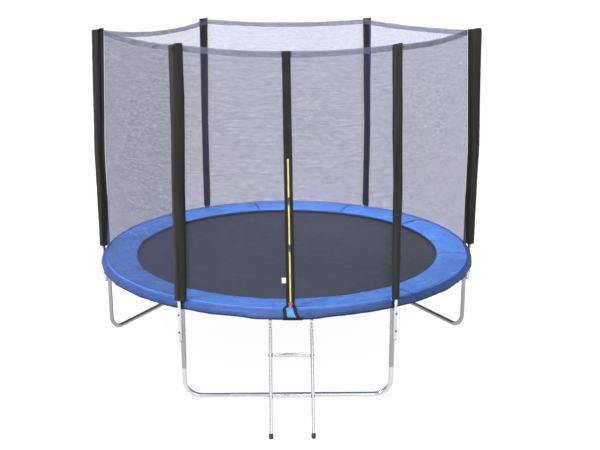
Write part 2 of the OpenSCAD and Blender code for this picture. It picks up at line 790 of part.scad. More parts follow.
// A tension spring: a closed coil with tapered ends, and a hook at each end.
// The hooks' curves are a touch thicker than the wire, so that the straight wire ends inside them.
module spring() {
    hook_d = spring_wire + 0.1;
    lap = 0.3;
    tip_drop = spring_z - 2 * hook_out_r - spring_wire / 2 - ring_z;
    tip_r = ring_r - sqrt(pow(rail_bore / 2, 2) - pow(tip_drop, 2)) + fit;
    end_in = v_bar;
    end_out = wall_r + 3;
    radial_bar(spring_wire, end_in - lap, end_out + lap, spring_z);
    radial_bar(spring_wire, tip_r, end_out + lap, spring_z - 2 * hook_out_r);
    radial_bar(spring_d, coil_in + taper_len, coil_out - taper_len, spring_z);
    translate([0, -coil_in, spring_z])
        rotate([90, 0, 0]) cylinder(d1 = 2 * spring_wire, d2 = spring_d - 0.4, h = taper_len + 1);
    translate([0, -coil_out + taper_len + 1, spring_z])
        rotate([90, 0, 0]) cylinder(d1 = spring_d - 0.4, d2 = 2 * spring_wire, h = taper_len + 1);
    translate([0, -end_in, mat_z])
        rotate([90, 0, 90])
            rotate([0, 0, -90])
                rotate_extrude(angle = 180) translate([hook_r, 0]) circle(d = hook_d, $fn = 16);
    translate([0, -end_out, spring_z - hook_out_r])
        rotate([90, 0, 90])
            rotate([0, 0, 90])
                rotate_extrude(angle = 180) translate([hook_out_r, 0]) circle(d = hook_d, $fn = 16);
}

// Every spring's place round the ring.
module at_springs() {
    for (i = [0:len(LEGS) - 1])
        for (k = [0:rail_springs - 1])
            at_angle(leg_angle(i) + spring_angle(k)) children();
}

// ---- Safety pad ----

// A foam ring in a cover: crowned, drawn down at its seams, and hollowed over the ladder's hooks.
module safety_pad() {
    angles = [for (k = [0:seams - 1]) for (s = seam_steps) 360 / seams * k + s];
    n = len(angles);
    m = len(pad_section(0));
    points = [
        for (k = [0:n - 1])
            for (p = pad_section(k % len(seam_steps) == 0 ? seam_dip : 0))
                [p[0] * sin(angles[k]), -p[0] * cos(angles[k]), p[1]]
    ];
    faces = [
        for (k = [0:n - 1]) for (j = [0:m - 1])
            let (p = m * k, q = m * ((k + 1) % n), g = (j + 1) % m)
            each [[p + j, q + j, q + g], [p + j, q + g, p + g]]
    ];
    pocket = hook_out + 1.5;
    difference() {
        polyhedron(points = points, faces = faces);
        at_angle(ladder_turn)
            for (x = [-1, 1])
                translate([x * ladder_half - hook_w / 2 - 2, -hinge_y - pocket, ring_z])
                    cube([hook_w + 4, 2 * pocket, pocket]);
    }
}

// The skirt: six lengths of cloth, parted at the poles, that wave and bulge over the hooks.
module pad_skirt() {
    rows = [for (t = [1, 0.68, 0.34, 0]) skirt_top - skirt_h * t];
    part_turn = asin(skirt_part / skirt_in);
    function grid(i, d) = [
        for (z = rows) for (k = [0:skirt_cols])
            let (a = leg_angle(i) + part_turn + (sector - 2 * part_turn) * k / skirt_cols,
                r = skirt_radius(a, z) + d)
            [r * sin(a), -r * cos(a), z]
    ];
    for (i = [0:len(LEGS) - 1]) sheet(grid(i, skirt_t), grid(i, 0), skirt_cols + 1, len(rows));
}

// ---- Ladder ----

// Puts a piece in the ladder's frame: the hinge line is X, -Z runs down the ladder, -Y outwards.
module at_ladder() {
    at_angle(ladder_turn)
        translate([0, -hinge_y, ring_z])
            rotate([-ladder_lean, 0, 0]) children();
}

module ladder_side(x) {
    hole = ladder_bolt_d + 2 * hole_gap;
    at_ladder()
        difference() {
            translate([x * ladder_half, -side_y, -side_end]) cylinder(d = side_d, h = side_end - side_top);
            translate([x * ladder_half, -side_y, -side_end - 1])
                cylinder(d = side_d - 2 * side_wall, h = side_end);
            for (k = [1:rung_count])
                translate([x * ladder_half, -side_y, -rung_s(k)])
                    rotate([0, 90, 0]) cylinder(d = hole, h = 2 * side_d, center = true);
            for (s = hook_bolts)
                translate([x * ladder_half, -side_y, -s])
                    rotate([90, 0, 0]) cylinder(d = hole, h = 2 * side_d, center = true);
        }
}

module ladder_rungs() {
    len_in = ladder_w - side_d - 2 * fit;
    plug = 14;
    at_ladder()
        for (k = [1:rung_count])
            translate([0, -side_y, -rung_s(k)])
                rotate([0, 90, 0])
                    difference() {
                        cylinder(d = rung_d, h = len_in, center = true);
                        cylinder(d = rung_d - 3, h = len_in - 2 * plug, center = true);
                        cylinder(d = ladder_bolt_d + 2 * hole_gap, h = len_in + 2, center = true);
                    }
}

// Flat hooks over the ring tube, with a straight shank down each side tube.
// The straight parts are a touch thinner than the curve and end inside it.
module ladder_hooks() {
    tuck = 0.05;
    lap = 0.3;
    at_ladder()
        for (x = [-1, 1])
            translate([x * ladder_half - hook_w / 2, 0, 0])
                difference() {
                    rotate([90, 0, 90])
                        linear_extrude(hook_w) {
                            intersection() {
                                difference() {
                                    circle(r = hook_out, $fn = 96);
                                    circle(r = hook_in, $fn = 96);
                                }
                                translate([-2 * hook_out, 0]) square([4 * hook_out, 2 * hook_out]);
                            }
                            translate([tuck - hook_out, -hook_len]) square([hook_t - 2 * tuck, hook_len + lap]);
                            translate([hook_in + tuck, -hook_lip]) square([hook_t - 2 * tuck, hook_lip + lap]);
                        }
                    for (s = hook_bolts)
                        translate([hook_w / 2, 0, -s])
                            rotate([90, 0, 0]) cylinder(d = ladder_bolt_d + 2 * hole_gap, h = 2 * hook_out);
                }
}

// Rubber feet on the side tubes, cut level where they stand on the ground.
module ladder_feet() {
    foot_top = 52;
    difference() {
        at_ladder()
            for (x = [-1, 1])
                translate([x * ladder_half, -side_y, -ground_s - foot_d])
                    difference() {
                        cylinder(d = foot_d, h = foot_top + foot_d);
                        translate([0, 0, foot_d + ground_s - side_end - fit])
                            cylinder(d = side_d + 2 * fit, h = foot_top + foot_d);
                    }
        translate([-ladder_w, -2 * ring_r, -2 * foot_d]) cube([2 * ladder_w, 2 * ring_r, 2 * foot_d]);
    }
}

// Bolts through the hooks and into the rungs' ends, with flat round heads.
module ladder_bolts() {
    head_d = 2 * ladder_bolt_d;
    head_h = 3;
    grip = hook_out + fit + side_d / 2 - side_y + fit;
    at_ladder()
        for (x = [-1, 1]) {
            for (s = hook_bolts)
                translate([x * ladder_half, -hook_out - fit, -s])
                    rotate([90, 0, 0]) {
                        cylinder(d = head_d, h = head_h);
                        translate([0, 0, -grip - head_h - 1])
                            cylinder(d = ladder_bolt_d, h = grip + head_h + 2);
                        translate([0, 0, -grip - head_h]) cylinder(d = head_d, h = head_h, $fn = 6);
                    }
            for (k = [1:rung_count])
                translate([x * (ladder_half + side_d / 2 + fit), -side_y, -rung_s(k)])
                    rotate([0, x * 90, 0]) {
                        cylinder(d = head_d, h = head_h);
                        translate([0, 0, -side_d - 10]) cylinder(d = ladder_bolt_d, h = side_d + 11);
                    }
        }
}

// ---- Assembly ----

steel = [0.72, 0.73, 0.75];
black = [0.13, 0.13, 0.14];
blue = [0.2, 0.38, 0.85];
grey_net = [0.55, 0.54, 0.62];

for (i = [0:len(LEGS) - 1]) {
    a = leg_angle(i);
    name = LEGS[i];
    at_ring() at_angle(a) color(steel) rail();
    at_ring() at_angle(a) color(steel) leg_post();
    at_ring() at_angle(a) color(steel) pole_lower();
    at_ring() at_angle(a) color(black) sleeve();
}
for (i = [0:len(BASES) - 1])
    at_ring() at_angle(base_angle(i)) color(steel) leg_base();

// Draws a piece once at every leg.
module at_legs() {
    for (i = [0:len(LEGS) - 1]) at_angle(leg_angle(i)) children();
}

at_ring() at_legs() color(steel) pole_upper();  // poles_upper
at_ring() at_legs() color(black) pole_cap();  // pole_caps
at_ring() at_legs() color(black) pole_plug();  // pole_plugs
at_ring() at_legs() color([0.25, 0.25, 0.27]) for (z = bolt_heights) pole_bolt(z);  // pole_bolts
at_ring() at_legs() color([0.2, 0.2, 0.2]) foam_pair();  // pole_foam

at_ring() color(grey_net) net_panel(0, ceil(net_cols / 2), to_door = 1);  // net_front_left
at_ring() color(grey_net) net_panel(0, ceil(net_cols / 2), from_door = 1);  // net_front_right
at_ring() color(grey_net) net_panel(1, net_cols);  // net_right_front
at_ring() color(grey_net) net_panel(2, net_cols);  // net_right_back
at_ring() color(grey_net) net_panel(3, net_cols);  // net_back
at_ring() color(grey_net) net_panel(4, net_cols);  // net_left_back
at_ring() color(grey_net) net_panel(5, net_cols);  // net_left_front
at_ring() color([0.45, 0.45, 0.5]) net_top_hem();
at_ring() color([0.1, 0.12, 0.3]) net_foot_hem();

at_ring() color(black) door_strip();
at_ring() color([0.93, 0.88, 0.35]) zip_tape();
at_ring() color(black) zip_slider(slider_high);  // zip_slider_upper
at_ring() color(black) zip_slider(slider_low);  // zip_slider_lower
at_ring() color([0.8, 0.15, 0.15]) zip_end_tab();
at_ring() color(black) door_tapes();
at_ring() color(black) for (i = [0:len(LEGS) - 1])  // sleeve_ties
        at_angle(leg_angle(i)) sleeve_tie(leg_angle(i) > 0 && leg_angle(i) < 180 ? -1 : 1);

at_ring() color([0.17, 0.18, 0.2]) jumping_mat();
at_ring() color(black) mat_webbing();
at_ring() color(steel) at_springs() v_ring();  // v_rings
at_ring() color(steel) at_springs() spring();  // springs
at_ring() color(blue) safety_pad();
at_ring() color([0.15, 0.28, 0.65]) pad_skirt();

at_ring() color(steel) ladder_side(-1);  // ladder_side_left
at_ring() color(steel) ladder_side(1);  // ladder_side_right
at_ring() color(steel) ladder_rungs();
at_ring() color(steel) ladder_hooks();
at_ring() color(black) ladder_feet();
at_ring() color([0.3, 0.3, 0.32]) ladder_bolts();
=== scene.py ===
# %% [markdown]
# # A round garden trampoline
# A steel ring on bent legs holds a jumping mat by sixty springs.
# A padded cover hides the springs, and a net on padded poles keeps people in.
# The steel pieces come ready from the CAD model.
# Everything sewn or woven is made here, because cloth needs folds, seams and a weave.

# %% Load the steel frame and remember its size
import math
import bpy
import numpy as np
from mathutils import Matrix, Vector, noise


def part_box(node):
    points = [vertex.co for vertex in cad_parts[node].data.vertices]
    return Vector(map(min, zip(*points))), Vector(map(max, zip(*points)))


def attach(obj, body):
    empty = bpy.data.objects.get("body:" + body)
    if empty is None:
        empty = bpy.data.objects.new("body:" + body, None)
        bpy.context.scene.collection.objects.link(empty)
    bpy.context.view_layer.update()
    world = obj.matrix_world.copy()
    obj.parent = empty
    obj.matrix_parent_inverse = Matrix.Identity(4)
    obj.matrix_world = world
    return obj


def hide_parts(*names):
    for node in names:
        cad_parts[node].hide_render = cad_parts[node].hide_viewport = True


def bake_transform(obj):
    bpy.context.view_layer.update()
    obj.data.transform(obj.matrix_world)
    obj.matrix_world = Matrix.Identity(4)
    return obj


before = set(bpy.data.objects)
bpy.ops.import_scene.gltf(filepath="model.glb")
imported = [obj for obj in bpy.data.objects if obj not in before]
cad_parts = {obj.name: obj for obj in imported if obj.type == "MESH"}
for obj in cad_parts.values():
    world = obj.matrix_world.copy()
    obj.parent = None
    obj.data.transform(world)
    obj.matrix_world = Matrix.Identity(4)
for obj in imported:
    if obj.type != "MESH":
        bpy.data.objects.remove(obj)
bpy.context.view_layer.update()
mat_low, mat_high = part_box("jumping_mat")
RING_Y = (mat_low.y + mat_high.y) / 2
scene = bpy.context.scene

# %% [markdown]
# ## Camera
# The camera stands in front, higher than the net's upper edge, and looks down at the mat.
# Its focal length is worked out in pixels, and Blender wants it in millimetres,
# so it is scaled by the sensor's width over the picture's.

# %% Camera
IMAGE_W, IMAGE_H = 600, 450
FOCAL_PX, SENSOR_W = 971.25, 36
CAMERA_SIDE, CAMERA_BACK, CAMERA_HEIGHT = -0.0157, 7.826, 3.156
PITCH, YAW = math.radians(15.79), math.radians(0.91)


def deselect():
    """Leaves nothing selected, because the next operator acts on all that is."""
    bpy.ops.object.select_all(action="DESELECT")


deselect()
bpy.ops.object.camera_add(
    location=(CAMERA_SIDE, RING_Y - CAMERA_BACK, CAMERA_HEIGHT),
    rotation=(math.pi / 2 - PITCH, 0, -YAW),
)
camera = bpy.context.object
camera.data.sensor_width = SENSOR_W
camera.data.lens = FOCAL_PX * SENSOR_W / IMAGE_W
scene.camera = camera
print("lens", round(camera.data.lens, 2), "mm for", IMAGE_W, "by", IMAGE_H)

# %% [markdown]
# ## Floor and light
# A wide pale floor meets a low round wall far away, so every view has a pale backdrop.
# Both glow a little by themselves, which keeps them nearly white with weak shadows.
# The sky is brighter in front than behind, which draws darker edges on round tubes.
# Square area lamps add soft shading and long highlights on the tubes.
#
# Every finish below is a small tree of shader nodes. Short helpers add the nodes,
# so that a finish reads as a list of what it does.


# %% Helpers that add shader nodes
def new_tree(name):
    """A new material's node tree, with its Principled shader ready."""
    material = bpy.data.materials.new(name)
    material.use_nodes = True
    return material.node_tree


def shader_of(tree):
    return tree.nodes["Principled BSDF"]


def add(tree, kind, inputs=None, **settings):
    """Adds a shader node. A socket given as an input is linked, and a value is set."""
    node = tree.nodes.new("ShaderNode" + kind)
    for key, value in settings.items():
        setattr(node, key, value)
    for key, value in (inputs or {}).items():
        if isinstance(value, bpy.types.NodeSocket):
            tree.links.new(value, node.inputs[key])
        else:
            node.inputs[key].default_value = value
    return node


def math_of(tree, operation, a, b=0.0, clamp=False):
    return add(tree, "Math", {0: a, 1: b}, operation=operation, use_clamp=clamp).outputs[0]


def times(tree, a, b):
    return math_of(tree, "MULTIPLY", a, b)


def plus(tree, a, b):
    return math_of(tree, "ADD", a, b)


def mix_of(tree, factor, a, b, blend="MIX"):
    """Mixes two colours, each an RGB triple or a socket."""
    node = add(tree, "Mix", {0: factor}, data_type="RGBA", blend_type=blend)
    for index, value in ((6, a), (7, b)):
        if isinstance(value, bpy.types.NodeSocket):
            tree.links.new(value, node.inputs[index])
        else:
            node.inputs[index].default_value = (*value, 1)
    return node.outputs[2]


def range_of(tree, value, low, high, to_low=0.0, to_high=1.0):
    """Maps a value from one range to another, and stops at the ends."""
    return add(tree, "MapRange", {0: value, 1: low, 2: high, 3: to_low, 4: to_high}).outputs[0]


print("shader helpers ready")


# %% Helpers for patterns, bumps and the shader itself
def object_place(tree, scale=(1, 1, 1)):
    """The piece's own coordinates, in metres."""
    coords = add(tree, "TexCoord")
    return add(tree, "Mapping", {0: coords.outputs["Object"], 3: scale}).outputs[0]


def cloth_place(tree, scale=(1, 1, 1)):
    """The piece's own UV map, which is laid out in metres along the cloth."""
    coords = add(tree, "UVMap", uv_map="UVMap")
    return add(tree, "Mapping", {0: coords.outputs[0], 3: scale}).outputs[0]


def noise_of(tree, place, scale, detail=3.0, rough=0.55):
    """Soft noise from 0 to 1, finer as the scale grows."""
    return add(
        tree, "TexNoise", {"Vector": place, "Scale": scale, "Detail": detail, "Roughness": rough}
    ).outputs[0]


def bump_into(tree, height, strength, distance, normal=None):
    """A bump, laid over another one if a normal is given."""
    inputs = {"Height": height, "Strength": strength, "Distance": distance}
    if normal is not None:
        inputs["Normal"] = normal
    return add(tree, "Bump", inputs).outputs[0]


def finish_tree(tree, color=None, normal=None, roughness=None, **values):
    """Links what varies to the shader, and sets on its own sockets what doesn't."""
    shader = shader_of(tree)
    for key, socket in (("Base Color", color), ("Normal", normal), ("Roughness", roughness)):
        if isinstance(socket, bpy.types.NodeSocket):
            tree.links.new(socket, shader.inputs[key])
        elif socket is not None:
            shader.inputs[key].default_value = socket
    for key, value in values.items():
        shader.inputs[key.replace("_", " ")].default_value = value


def material_of(tree):
    """The material that a node tree belongs to."""
    return next(m for m in bpy.data.materials if m.node_tree == tree)


print("pattern helpers ready")

# %% Floor and wall of the studio
WHITE = (1, 1, 1, 1)
FLOOR_W, WALL_R, WALL_TALL = 260, 100, 24

tree = new_tree("studio_floor")
spot = noise_of(tree, object_place(tree), 0.35, 2.0)
finish_tree(
    tree,
    color=mix_of(tree, spot, (0.19, 0.19, 0.195), (0.22, 0.22, 0.22)),
    roughness=0.9,
    Emission_Color=WHITE,
    Emission_Strength=0.92,
)
deselect()
bpy.ops.mesh.primitive_plane_add(size=FLOOR_W, location=(0, 0, 0))
floor = bpy.context.object
floor.name = "studio_floor"
floor.data.materials.append(material_of(tree))

tree = new_tree("studio_wall")
finish_tree(
    tree,
    color=(0.02, 0.02, 0.02, 1),
    roughness=1.0,
    Emission_Color=WHITE,
    Emission_Strength=0.85,
)
deselect()
bpy.ops.mesh.primitive_cylinder_add(
    vertices=96, radius=WALL_R, depth=WALL_TALL, end_fill_type="NOTHING",
    location=(0, 0, WALL_TALL / 2),
)
wall = bpy.context.object
wall.name = "studio_wall"
wall.data.materials.append(material_of(tree))
print("floor", floor.name, "and wall", wall.name)

# %% Sky and lamps
SKY_FRONT, SKY_BACK = (0.97, 0.98, 1.0), (0.38, 0.385, 0.39)
SKY_STRENGTH = 0.85

world = bpy.data.worlds.new("studio_sky") if scene.world is None else scene.world
scene.world = world
world.use_nodes = True
sky_tree = world.node_tree
sky = sky_tree.nodes["Background"]
directions = add(sky_tree, "TexCoord").outputs["Object"]
backward = add(sky_tree, "SeparateXYZ", {0: directions}).outputs[1]
glow = mix_of(sky_tree, range_of(sky_tree, backward, -0.8, 0.6), SKY_FRONT, SKY_BACK)
sky_tree.links.new(glow, sky.inputs[0])
sky.inputs[1].default_value = SKY_STRENGTH


def lamp(name, place, aim, size, power):
    """A square area lamp, turned so that it shines on the place it aims at."""
    bpy.ops.object.light_add(type="AREA", location=place)
    made = bpy.context.object
    made.name = name
    made.data.size = size
    made.data.energy = power
    made.rotation_euler = (Vector(aim) - Vector(place)).to_track_quat("-Z", "Y").to_euler()
    return made


lamp("key_lamp", (-5.2, -4.8, 9.0), (0, 0, 0.8), 2.0, 1450)
lamp("fill_lamp", (2.5, -10.0, 5.0), (0, 0, 0.8), 4.0, 170)
lamp("top_lamp", (0.5, 1.2, 7.0), (0, 0.2, 0.7), 2.0, 310)
scene.view_settings.view_transform = "Standard"

# %% [markdown]
# ## Finishes for steel and plastic
# Galvanised tube is dull silver with large pale crystals, fine scratches and drawn streaks.
# The zinc crystals are a Voronoi pattern, and soft noise moves the gloss about.


# %% Steel and plastic finishes
def steel_finish(name, dark, light, metal, rough_low, rough_high, crystals=70.0):
    """Zinc crystals and soft clouds move the colour, and drawn scratches catch the light."""
    tree = new_tree(name)
    place = object_place(tree)
    flakes = add(tree, "TexVoronoi", {"Vector": place, "Scale": crystals}).outputs["Color"]
    flake = add(tree, "SeparateColor", {0: flakes}).outputs[0]
    cloud = noise_of(tree, place, 6.0)
    shade = plus(tree, times(tree, flake, 0.10), times(tree, cloud, 0.6))
    scratches = noise_of(tree, object_place(tree, (260, 260, 9)), 1.0, 2.0)
    finish_tree(
        tree,
        color=mix_of(tree, shade, dark, light),
        roughness=range_of(tree, cloud, 0.3, 0.7, rough_low, rough_high),
        normal=bump_into(tree, scratches, 0.04, 0.0004),
        Metallic=metal,
    )
    return material_of(tree)


def moulded_finish(name, color, rough, grain=900.0):
    """A plain moulded or foamed surface with paler clouds and a fine grain."""
    tree = new_tree(name)
    place = object_place(tree)
    cloud = noise_of(tree, place, 14.0)
    pale = tuple(min(1.0, c * 1.7 + 0.01) for c in color)
    finish_tree(
        tree,
        color=mix_of(tree, range_of(tree, cloud, 0.35, 0.75), color, pale),
        roughness=range_of(tree, cloud, 0.3, 0.7, rough - 0.06, rough + 0.08),
        normal=bump_into(tree, noise_of(tree, place, grain, 1.0), 0.25, 0.0003),
    )
    return material_of(tree)


galvanised = steel_finish(
    "galvanised_tube", (0.48, 0.49, 0.50), (0.72, 0.73, 0.75), 0.96, 0.14, 0.26
)
# A darker copy of the galvanised finish: painted shade and dark reflection for the legs, their side
# bases and the rails.
leg_steel = steel_finish("leg_steel", (0.23, 0.23, 0.24), (0.46, 0.47, 0.48), 0.96, 0.18, 0.30)
dark_zinc = steel_finish(
    "dark_zinc", (0.12, 0.12, 0.13), (0.26, 0.26, 0.28), 0.9, 0.35, 0.5, crystals=200.0
)
bright_zinc = steel_finish(
    "bright_zinc", (0.45, 0.46, 0.48), (0.75, 0.76, 0.78), 0.95, 0.22, 0.34, crystals=160.0
)
black_plastic = moulded_finish("black_plastic", (0.018, 0.018, 0.02), 0.42)
black_rubber = moulded_finish("black_rubber", (0.013, 0.013, 0.013), 0.7, grain=500.0)
grey_foam = moulded_finish("grey_foam", (0.05, 0.05, 0.055), 0.9, grain=350.0)
print("finishes", [m.name for m in bpy.data.materials][:8])

# %% Finishes on the CAD pieces that stay
LEGS = ["front_left", "front_right", "right", "back_right", "back_left", "left"]
LEG_ANGLES = {name: 60 * i - 30 for i, name in enumerate(LEGS)}


def dress(material, names):
    """Gives CAD pieces one finish in place of their flat colour."""
    for name in names:
        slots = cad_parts[name].data.materials
        slots.clear()
        slots.append(material)


dress(galvanised, ["leg_base_front", "poles_upper"] + ["pole_lower_" + n for n in LEGS])
dress(galvanised, ["ladder_side_left", "ladder_side_right", "ladder_rungs", "ladder_hooks"])
# The side bases, rails and leg posts wear the darker copy, which is painted shade.
dress(leg_steel, ["leg_base_right", "leg_base_left"])
dress(leg_steel, [part + n for part in ("rail_", "leg_post_") for n in LEGS])
dress(dark_zinc, ["pole_bolts", "ladder_bolts"])
dress(black_plastic, ["pole_caps", "pole_plugs", "zip_slider_upper", "zip_slider_lower"])
dress(black_rubber, ["ladder_feet"])
print("dressed", sum(len(o.data.materials) == 1 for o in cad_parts.values()), "CAD pieces")

# %% [markdown]
# ## Cloth finishes
# The pad's cover is blue coated cloth with a slight gloss.
# The sleeves are black woven polyester, and the mat is a flat slate-grey weave.
# Each weave is two crossed waves, laid out in metres along the cloth, so it never stretches.
# Where cloth is bound it is darker. Painted shade darkens the pad's seams, its inner lower face and
# the skirt towards its hem, and that share is kept in the mesh or its UV map.


# %% Weave and darker edges
def weave_of(tree, pitch):
    """Two crossed sine waves along the cloth, from 0 to 1."""
    place = add(tree, "SeparateXYZ", {0: cloth_place(tree)})
    turns = 2 * math.pi / pitch
    u, v = (math_of(tree, "SINE", times(tree, place.outputs[k], turns)) for k in (0, 1))
    return range_of(tree, times(tree, u, v), -1.0, 1.0)


def edge_darker(material, share_of, tint):
    """Mixes a darker colour over a finish where share_of says, such as along a seam."""
    tree = material.node_tree
    shader = shader_of(tree)
    plain = shader.inputs["Base Color"].links[0].from_socket
    tree.links.new(mix_of(tree, share_of(tree), plain, tint), shader.inputs["Base Color"])


def painted_shade_share(tree):
    """The share of painted shade kept in the mesh's own attribute: strongest on the pad's inner
    lower face, and less in a seam.
    """
    return add(tree, "Attribute", attribute_name="painted_shade").outputs["Fac"]


def hem_binding_and_shade(tree):
    """Full on the bound hem along the lowest 11 mm, then painted shade that fades out 40 mm up the
    cloth.
    """
    height = add(tree, "SeparateXYZ", {0: cloth_place(tree)}).outputs[1]
    dark_band = range_of(tree, height, 0.0105, 0.0115, 1.0, 0.0)
    shade = range_of(tree, height, 0.004, 0.040, 0.42, 0.0)
    return math_of(tree, "MAXIMUM", dark_band, shade)


print("weave helpers ready")


# %% Cloth finish
def cloth_finish(
    name, dark, light, rough, pitch, patch, creases=0.0, crease_scale=30.0, drawn=1.0, **values
):
    """A woven cloth. The pitch is its weave's and patch is how fine its clouds are.

    Clouds and creases are drawn out along the height when drawn is below 1.
    """
    tree = new_tree(name)
    place = object_place(tree, (1, 1, drawn))
    cloud = noise_of(tree, place, patch, 4.0)
    weave = weave_of(tree, pitch)
    shade = plus(tree, range_of(tree, cloud, 0.3, 0.7, 0.0, 0.75), times(tree, weave, 0.25))
    normal = bump_into(tree, weave, 0.3, pitch * 0.12)
    if creases:
        folds = noise_of(tree, place, crease_scale, 4.0, 0.6)
        normal = bump_into(tree, folds, creases, 0.006, normal)
    finish_tree(
        tree,
        color=mix_of(tree, shade, dark, light),
        roughness=range_of(tree, cloud, 0.3, 0.7, rough - 0.05, rough + 0.06),
        normal=normal,
        **values,
    )
    return material_of(tree)


print("cloth finish ready")

# %% Cloths of the pad, sleeves, mat and tapes
BINDING_AND_SHADE_BLUE = (0.008, 0.012, 0.045)
COATED, TAPE_PITCH = 0.0016, 0.0020

pad_cover = cloth_finish(
    "pad_cover", (0.070, 0.240, 0.80), (0.130, 0.350, 0.94), 0.42, COATED, 7.0, 0.8, 15.0,
    Specular_IOR_Level=0.3,
)
# Painted shade along the cover's seams and on its inner lower face.
edge_darker(pad_cover, painted_shade_share, BINDING_AND_SHADE_BLUE)
# The skirt wears a darker copy of the pad's cover: painted shade for its hanging side, which gets
# less light than the top.
skirt_cloth = cloth_finish(
    "skirt_cloth", (0.054, 0.185, 0.63), (0.100, 0.275, 0.79), 0.42, COATED, 8.0, 0.9, 13.0,
    Specular_IOR_Level=0.3,
)
# A dark bound hem, with painted shade that deepens down the lowest 40 mm of the skirt.
edge_darker(skirt_cloth, hem_binding_and_shade, BINDING_AND_SHADE_BLUE)
# The sleeve's clouds are drawn out into vertical streaks: partly a random tone, partly painted
# light and shade of its folds.
sleeve_cloth = cloth_finish(
    "sleeve_cloth", (0.003, 0.003, 0.005), (0.027, 0.026, 0.020), 0.62, 0.0022, 26.0, 0.5, 24.0,
    drawn=0.04, Sheen_Weight=0.05, Sheen_Roughness=0.5, Specular_IOR_Level=0.18,
)
strap_cloth = cloth_finish(
    "strap_cloth", (0.006, 0.006, 0.007), (0.016, 0.016, 0.017), 0.75, 0.0030, 20.0,
    Specular_IOR_Level=0.2,
)
mat_cloth = cloth_finish(
    "mat_cloth", (0.045, 0.055, 0.059), (0.052, 0.062, 0.067), 0.6, 0.0045, 1.6,
    Specular_IOR_Level=0.2,
)
hem_cloth = cloth_finish(
    "hem_cloth", (0.055, 0.17, 0.58), (0.080, 0.22, 0.68), 0.6, TAPE_PITCH, 20.0
)
white_tape = cloth_finish(
    "white_tape", (0.70, 0.70, 0.70), (0.86, 0.86, 0.85), 0.7, TAPE_PITCH, 30.0
)
red_tape = cloth_finish("red_tape", (0.45, 0.02, 0.02), (0.62, 0.04, 0.03), 0.6, TAPE_PITCH, 30.0)
yellow_tape = cloth_finish(
    "yellow_tape", (0.40, 0.35, 0.07), (0.52, 0.46, 0.11), 0.55, TAPE_PITCH, 30.0
)
yellow_teeth = moulded_finish("yellow_teeth", (0.62, 0.57, 0.17), 0.4)
print("cloths", [m.name for m in bpy.data.materials if "cloth" in m.name or "cover" in m.name])

# %% [markdown]
# ## Net finish
# The net is knitted in small diamonds, so most of it is holes.
# The holes are made with the shader's alpha, and the thread is a dark grey blue.
# Wide bands and a fine grain in the thread's density give the cloudy look of such a net.
# The back panels' thread is given a paler colour, painted light for the light that it catches from
# in front.


# %% Net finish
DIAMOND, CORD = 0.0065, 0.30
DIAMOND_TALL = 0.8


def net_finish(name, thread, open_part, closed_part, shaded=None):
    """Knitted net, with how much of a hole and of a thread hides what lies behind.

    The shaded colour is the thread's where the panel lies against a sleeve.
    """
    tree = new_tree(name)
    place = add(tree, "SeparateXYZ", {0: cloth_place(tree)})
    u, v = place.outputs[0], place.outputs[1]
    sides = []
    for operation in ("ADD", "SUBTRACT"):
        slope = math_of(tree, operation, u, times(tree, v, DIAMOND_TALL))
        wave = math_of(tree, "SINE", times(tree, slope, math.pi / DIAMOND))
        sides.append(math_of(tree, "ABSOLUTE", wave))
    nearest = math_of(tree, "MINIMUM", *sides)
    threads = range_of(tree, nearest, CORD * 0.7, CORD * 1.3, 1.0, 0.0)
    bands = noise_of(tree, cloth_place(tree, (3, 36, 1)), 1.0, 2.0, 0.5)
    grain = noise_of(tree, cloth_place(tree, (17, 92, 1)), 1.0, 1.0, 0.5)
    cloud = plus(tree, times(tree, bands, 0.35), times(tree, grain, 0.65))
    lower = range_of(tree, v, 0.1, 1.6, 1.1, 0.96)
    dense = times(tree, range_of(tree, cloud, 0.30, 0.70, 0.80, 1.20), lower)
    cover = plus(tree, open_part, times(tree, threads, closed_part - open_part))
    alpha = math_of(tree, "MULTIPLY", cover, dense, clamp=True)
    tree.links.new(alpha, shader_of(tree).inputs["Alpha"])
    pale = tuple(min(1.0, c * 1.25) for c in thread)
    color = mix_of(tree, cloud, thread, pale)
    if shaded:
        near_sleeve = add(tree, "Attribute", attribute_name="near_sleeve").outputs["Fac"]
        color = mix_of(tree, near_sleeve, color, shaded)
    finish_tree(tree, color=color, roughness=0.85)
    return material_of(tree)


net_front = net_finish("net_front", (0.012, 0.011, 0.044), 0.27, 0.78)
net_side = net_finish("net_side", (0.013, 0.012, 0.048), 0.44, 0.88)
# Painted light and shade: the back net's thread is paler than the front's, and turns to a painted
# shade colour where it lies against a sleeve.
net_back = net_finish("net_back", (0.070, 0.080, 0.36), 0.20, 0.64, shaded=(0.004, 0.005, 0.007))
net_band = net_finish("net_band", (0.110, 0.115, 0.170), 0.32, 0.56)
print("nets", net_front.name, net_side.name, net_back.name, net_band.name)

# %% [markdown]
# ## Laying out cloth
# All the cloth is made from grids of points, row by row.
# Each grid also keeps how far every point lies along the cloth, for the weave.


# %% Points, noise and smooth steps
def polar(r, angle, z):
    """A point at a radius and an angle round the ring, measured from the front."""
    a = np.radians(angle)
    return np.stack(np.broadcast_arrays(r * np.sin(a), RING_Y - r * np.cos(a), z), axis=-1)


def wobble(seed, *coords):
    """Smooth noise from -1 to 1 at each point of equally shaped arrays."""
    flat = [np.asarray(c, float) for c in np.broadcast_arrays(*coords)]
    shape = flat[0].shape
    flat = [c.ravel() for c in flat]
    while len(flat) < 3:
        flat.append(np.zeros(flat[0].size))
    offset = Vector((seed * 17.3, seed * 5.1, seed * 9.7))
    values = [noise.noise(Vector(p) + offset) for p in zip(*flat)]
    return np.array(values).reshape(shape)


def ease(t):
    """A smooth step from 0 to 1."""
    t = np.clip(t, 0, 1)
    return t * t * (3 - 2 * t)


print("a circle of 1 m starts in front at", np.round(polar(1, 0, 0), 3))


